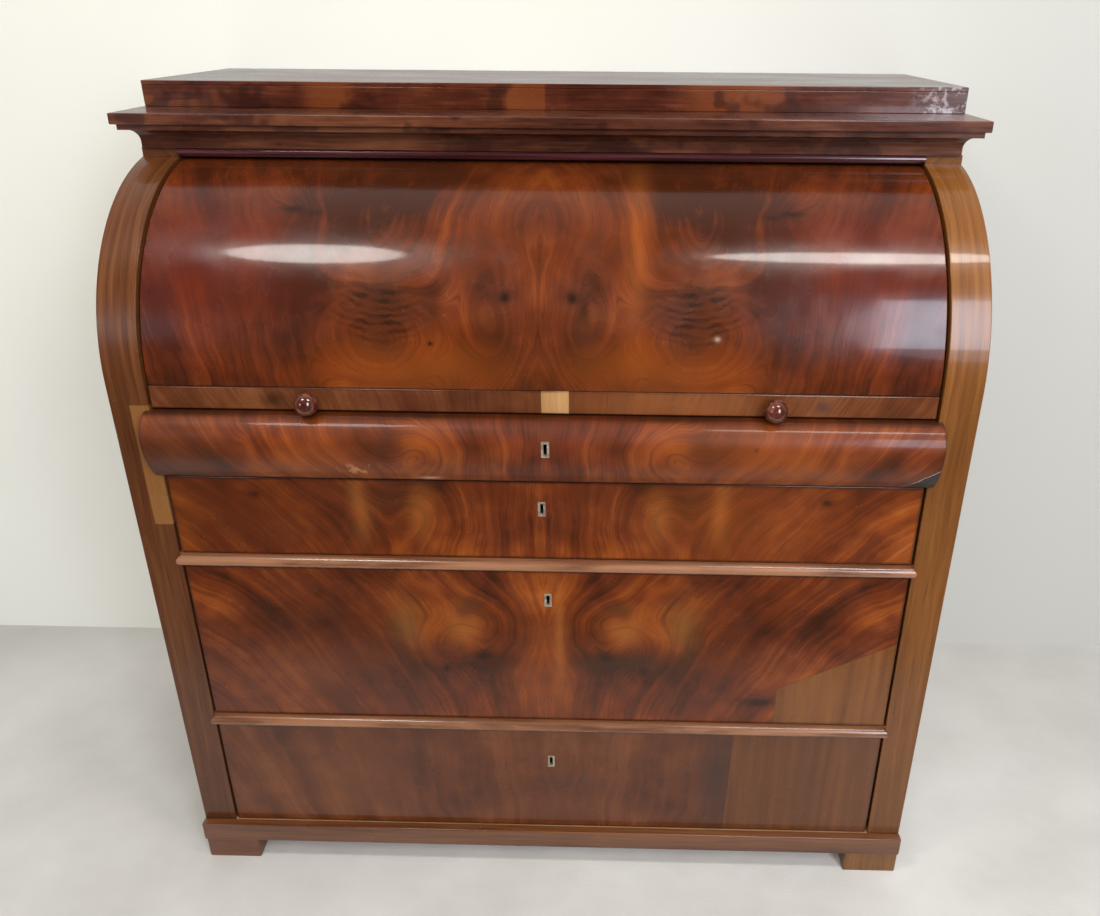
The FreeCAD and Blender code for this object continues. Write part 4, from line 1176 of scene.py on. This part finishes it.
knob_low, knob_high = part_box("lid_knobs")
knob_radius = (knob_high.z - knob_low.z) / 2
knob_z = (knob_high.z + knob_low.z) / 2
knob_x = knob_high.x - knob_radius
ball_y = knob_low.y + knob_radius
neck_radius = 0.007
collar_radius = 0.010
ball_sweep = radians(152)
bm = bmesh.new()
for side in (-1, 1):
    axis_at = Vector((side * knob_x, ball_y, knob_z))
    tip = bm.verts.new((axis_at.x, knob_low.y, knob_z))
    arc = bmesh.ops.spin(bm, geom=[tip], cent=axis_at, axis=(1, 0, 0), angle=-ball_sweep, steps=18)
    last = points(arc["geom_last"])[0]
    turned = [(knob_high.y - 0.0042, neck_radius), (knob_high.y - 0.0032, collar_radius - 0.0006),
              (knob_high.y - 0.0022, collar_radius), (knob_high.y, collar_radius), (knob_high.y, 0.0)]
    profile = [last]
    for y, radius in turned:
        profile.append(bm.verts.new((axis_at.x, y, knob_z + radius)))
        bm.edges.new(profile[-2:])
    chain = [edge for edge in bm.edges if not edge.link_faces]
    bmesh.ops.spin(bm, geom=chain, cent=axis_at, axis=(0, 1, 0), angle=2 * pi, steps=40, use_merge=True)
bmesh.ops.remove_doubles(bm, verts=bm.verts, dist=1e-6)
bmesh.ops.recalc_face_normals(bm, faces=bm.faces)
shade(bm)
knobs = new_piece("turned_knobs", bm, knob_polish())
settle(knobs, "lid", "knob_wood", "lid_knobs")


def metal(name, dark, light, roughness):
    finish = Finish(name)
    blotch = finish.noise(finish.place(), 140.0, 4.0, 0.6)
    finish.colour(finish.ramp(blotch, [(0.35, dark), (0.65, light)]))
    finish.set(Metallic=1.0, Roughness=finish.span(blotch, 0.3, 0.7, roughness - 0.1, roughness + 0.1))
    finish.relief((blotch, 0.0001))
    return finish.material


dress(metal("pin_iron", (0.06, 0.05, 0.045), (0.17, 0.15, 0.13), 0.45), "lid_pins")
old_brass = metal("old_brass", (0.25, 0.16, 0.055), (0.55, 0.40, 0.17), 0.34)
dress(old_brass, "pivot_bushes", "letter_knob_left", "letter_knob_right")


# ---- Fitment ----
# Behind the lid a small stage of pigeonholes stands on the bed board, with a letter drawer at
# each end and a brass knob on each drawer. Thin polished boards, housed into each other.

dress(plain_y, "fitment_base")
dress(plain_z, "fitment_uprights")
dress(plain_x, "fitment_shelves", "letter_drawer_left", "letter_drawer_right")


# ---- Top: bead, cornice, top board and blocking ----
# A half-round bead closes the gap over the lid. The cornice is a cove under a square corona,
# mitred round the front corners, and a plain blocking course stands on the board above it.

bead_low, bead_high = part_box("top_bead")
bead_radius = (bead_high.z - bead_low.z) / 2


def bead_polish():
    finish = Finish("bead_polish")
    place = finish.place()
    fine = finish.grain(place, (5.0, 300.0, 300.0), 3.0)
    finish.colour(finish.ramp(fine, [(0.3, (0.020, 0.005, 0.006)), (0.7, (0.085, 0.016, 0.018))]))
    finish.set(Roughness=finish.span(fine, 0.3, 0.7, 0.2, 0.32), Coat_Weight=0.7, Coat_Roughness=0.08)
    finish.relief((fine, 0.00008))
    return finish.material


bead_finish = bead_polish()
bm = bmesh.new()
half_round(bm, bead_high.x, bead_low.z + bead_radius, bead_low.y + bead_radius, (bead_radius, bead_radius))
shade(bm)
bead = new_piece("polished_bead", bm, bead_finish)
strip_height = 0.007
cut_box(bead, (bead_low.x, bead_low.y + bead_radius - 0.001, bead_high.z - strip_height), bead_high,
        bead_finish, "UNION")
settle(bead, "carcass", "plain_veneer", "top_bead")


def cornice_veneer(name, dark, middle, light, *repairs):
    finish = Finish(name)
    place = finish.place()
    x, y, _ = finish.parts(place)
    fine = finish.grain(place, (14.0, 260.0, 260.0), 3.0)
    patches = finish.grain(place, (6.0, 12.0, 12.0), 4.0, 0.65)
    tone = finish.add(finish.times(fine, 0.35), finish.times(patches, 0.65))
    base = finish.ramp(tone, [(0.32, dark), (0.5, middle), (0.7, light)])
    for left, right, edge in repairs:
        inside = finish.times(finish.span(x, left - edge, left),
                              finish.span(x, right, right + edge, 1.0, 0.0))
        inside = finish.times(inside, finish.span(y, -0.0035, -0.0015, 0.65, 0.0))
        base = finish.mix(inside, base, (0.165, 0.040, 0.009))
    spill = finish.grain(place, (9.0, 22.0, 9.0), 3.0, 0.7)
    base = finish.mix(finish.span(spill, 0.56, 0.62, 0.0, 0.65), base, dark)
    chips = finish.noise(place, 70.0, 4.0, 0.7)
    if repairs:
        # Pale chipped patches at the right-hand front corner: partly wear, partly a painted highlight.
        at_corner = finish.times(finish.span(x, 0.49, 0.54), finish.span(y, 0.0, 0.02, 1.0, 0.0))
        end_wear_and_highlight = finish.times(at_corner, finish.span(chips, 0.50, 0.60, 0.1, 0.8))
        base = finish.mix(end_wear_and_highlight, base, (0.36, 0.31, 0.31))
    finish.colour(base)
    finish.set(Roughness=finish.span(patches, 0.3, 0.7, 0.20, 0.36), Coat_Weight=0.4, Coat_Roughness=0.08)
    finish.set(Specular_IOR_Level=0.3)
    finish.relief((fine, 0.00008), (patches, 0.0008))
    return finish.material


cornice_finish = cornice_veneer("cornice_veneer", (0.024, 0.007, 0.005), (0.078, 0.022, 0.010),
                                (0.17, 0.055, 0.020))
fillet_setback, fillet_height = 0.0065, 0.0075
soffit, cove_width, cove_height = 0.006, 0.0135, 0.016
moulding_depth = 0.032
corner_low, corner_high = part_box("cornice_moulding")
corona_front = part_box("top_board")[0].y
corona_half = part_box("top_board")[1].x
bm = bmesh.new()


def on_mitre(setback, z):
    return bm.verts.new((corona_half - setback, corona_front + setback, z))


cove_set = fillet_setback + soffit
cove_top = corner_high.z - fillet_height
across_mitre = Vector((-1, 1, 0)).normalized()
start = on_mitre(cove_set, cove_top)
cove_centre = start.co - Vector((0, 0, cove_height))
curve = bmesh.ops.spin(bm, geom=[start], cent=cove_centre, axis=across_mitre.cross(Vector((0, 0, 1))),
                       angle=pi / 2, steps=14)
end = points(curve["geom_last"])[0]
flare = cove_width / (end.co.y - start.co.y)
bmesh.ops.scale(bm, vec=(flare, flare, 1), space=Matrix.Translation(-start.co), verts=bm.verts)
foot_set = cove_set + cove_width
back_set = fillet_setback + moulding_depth
outline = [end, on_mitre(foot_set, corner_low.z), on_mitre(back_set, corner_low.z),
           on_mitre(back_set, corner_high.z), on_mitre(fillet_setback, corner_high.z),
           on_mitre(fillet_setback, cove_top), start]
for first, second in zip(outline, outline[1:]):
    bm.edges.new((first, second))
section = bm.edges[:]
front_run = bmesh.ops.extrude_edge_only(bm, edges=section)["geom"]
bmesh.ops.scale(bm, vec=(-1, 1, 1), verts=points(front_run))
left_section = [item for item in front_run if isinstance(item, bmesh.types.BMEdge)]
for edges in (section, left_section):
    side_run = bmesh.ops.extrude_edge_only(bm, edges=edges)["geom"]
    flatten_y(bm, points(side_run), corner_high.y)
bmesh.ops.holes_fill(bm, edges=[edge for edge in bm.edges if edge.is_boundary], sides=0)
bmesh.ops.recalc_face_normals(bm, faces=bm.faces)
shade(bm, limit=radians(25))
cornice = new_piece("mitred_cornice", bm, cornice_finish)
settle(cornice, "carcass", "plain_veneer", "cornice_moulding")

corona_ease = 0.0014
eased_board("corona_board", "top_board", cornice_finish, corona_ease, "carcass", "plain_veneer")

blocking_finish = cornice_veneer("blocking_veneer", (0.022, 0.005, 0.003), (0.070, 0.015, 0.006),
                                 (0.17, 0.045, 0.012), (-0.063, -0.010, 0.001), (-0.330, -0.300, 0.03),
                                 (0.22, 0.30, 0.06))
frame_low, frame_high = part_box("blocking_frame")
rail_thickness = 0.018
blocking_ease = 0.0009
bm = bmesh.new()
board_mesh(bm, frame_low, frame_high, blocking_ease)
upstand = new_piece("blocking_upstand", bm, blocking_finish)
well_inset = Vector((rail_thickness, rail_thickness, -0.01))
cut_box(upstand, frame_low + well_inset, frame_high - well_inset, blocking_finish)
settle(upstand, "carcass", "plain_veneer", "blocking_frame")
eased_board("blocking_cover", "blocking_panel", blocking_finish, blocking_ease, "carcass", "plain_veneer")
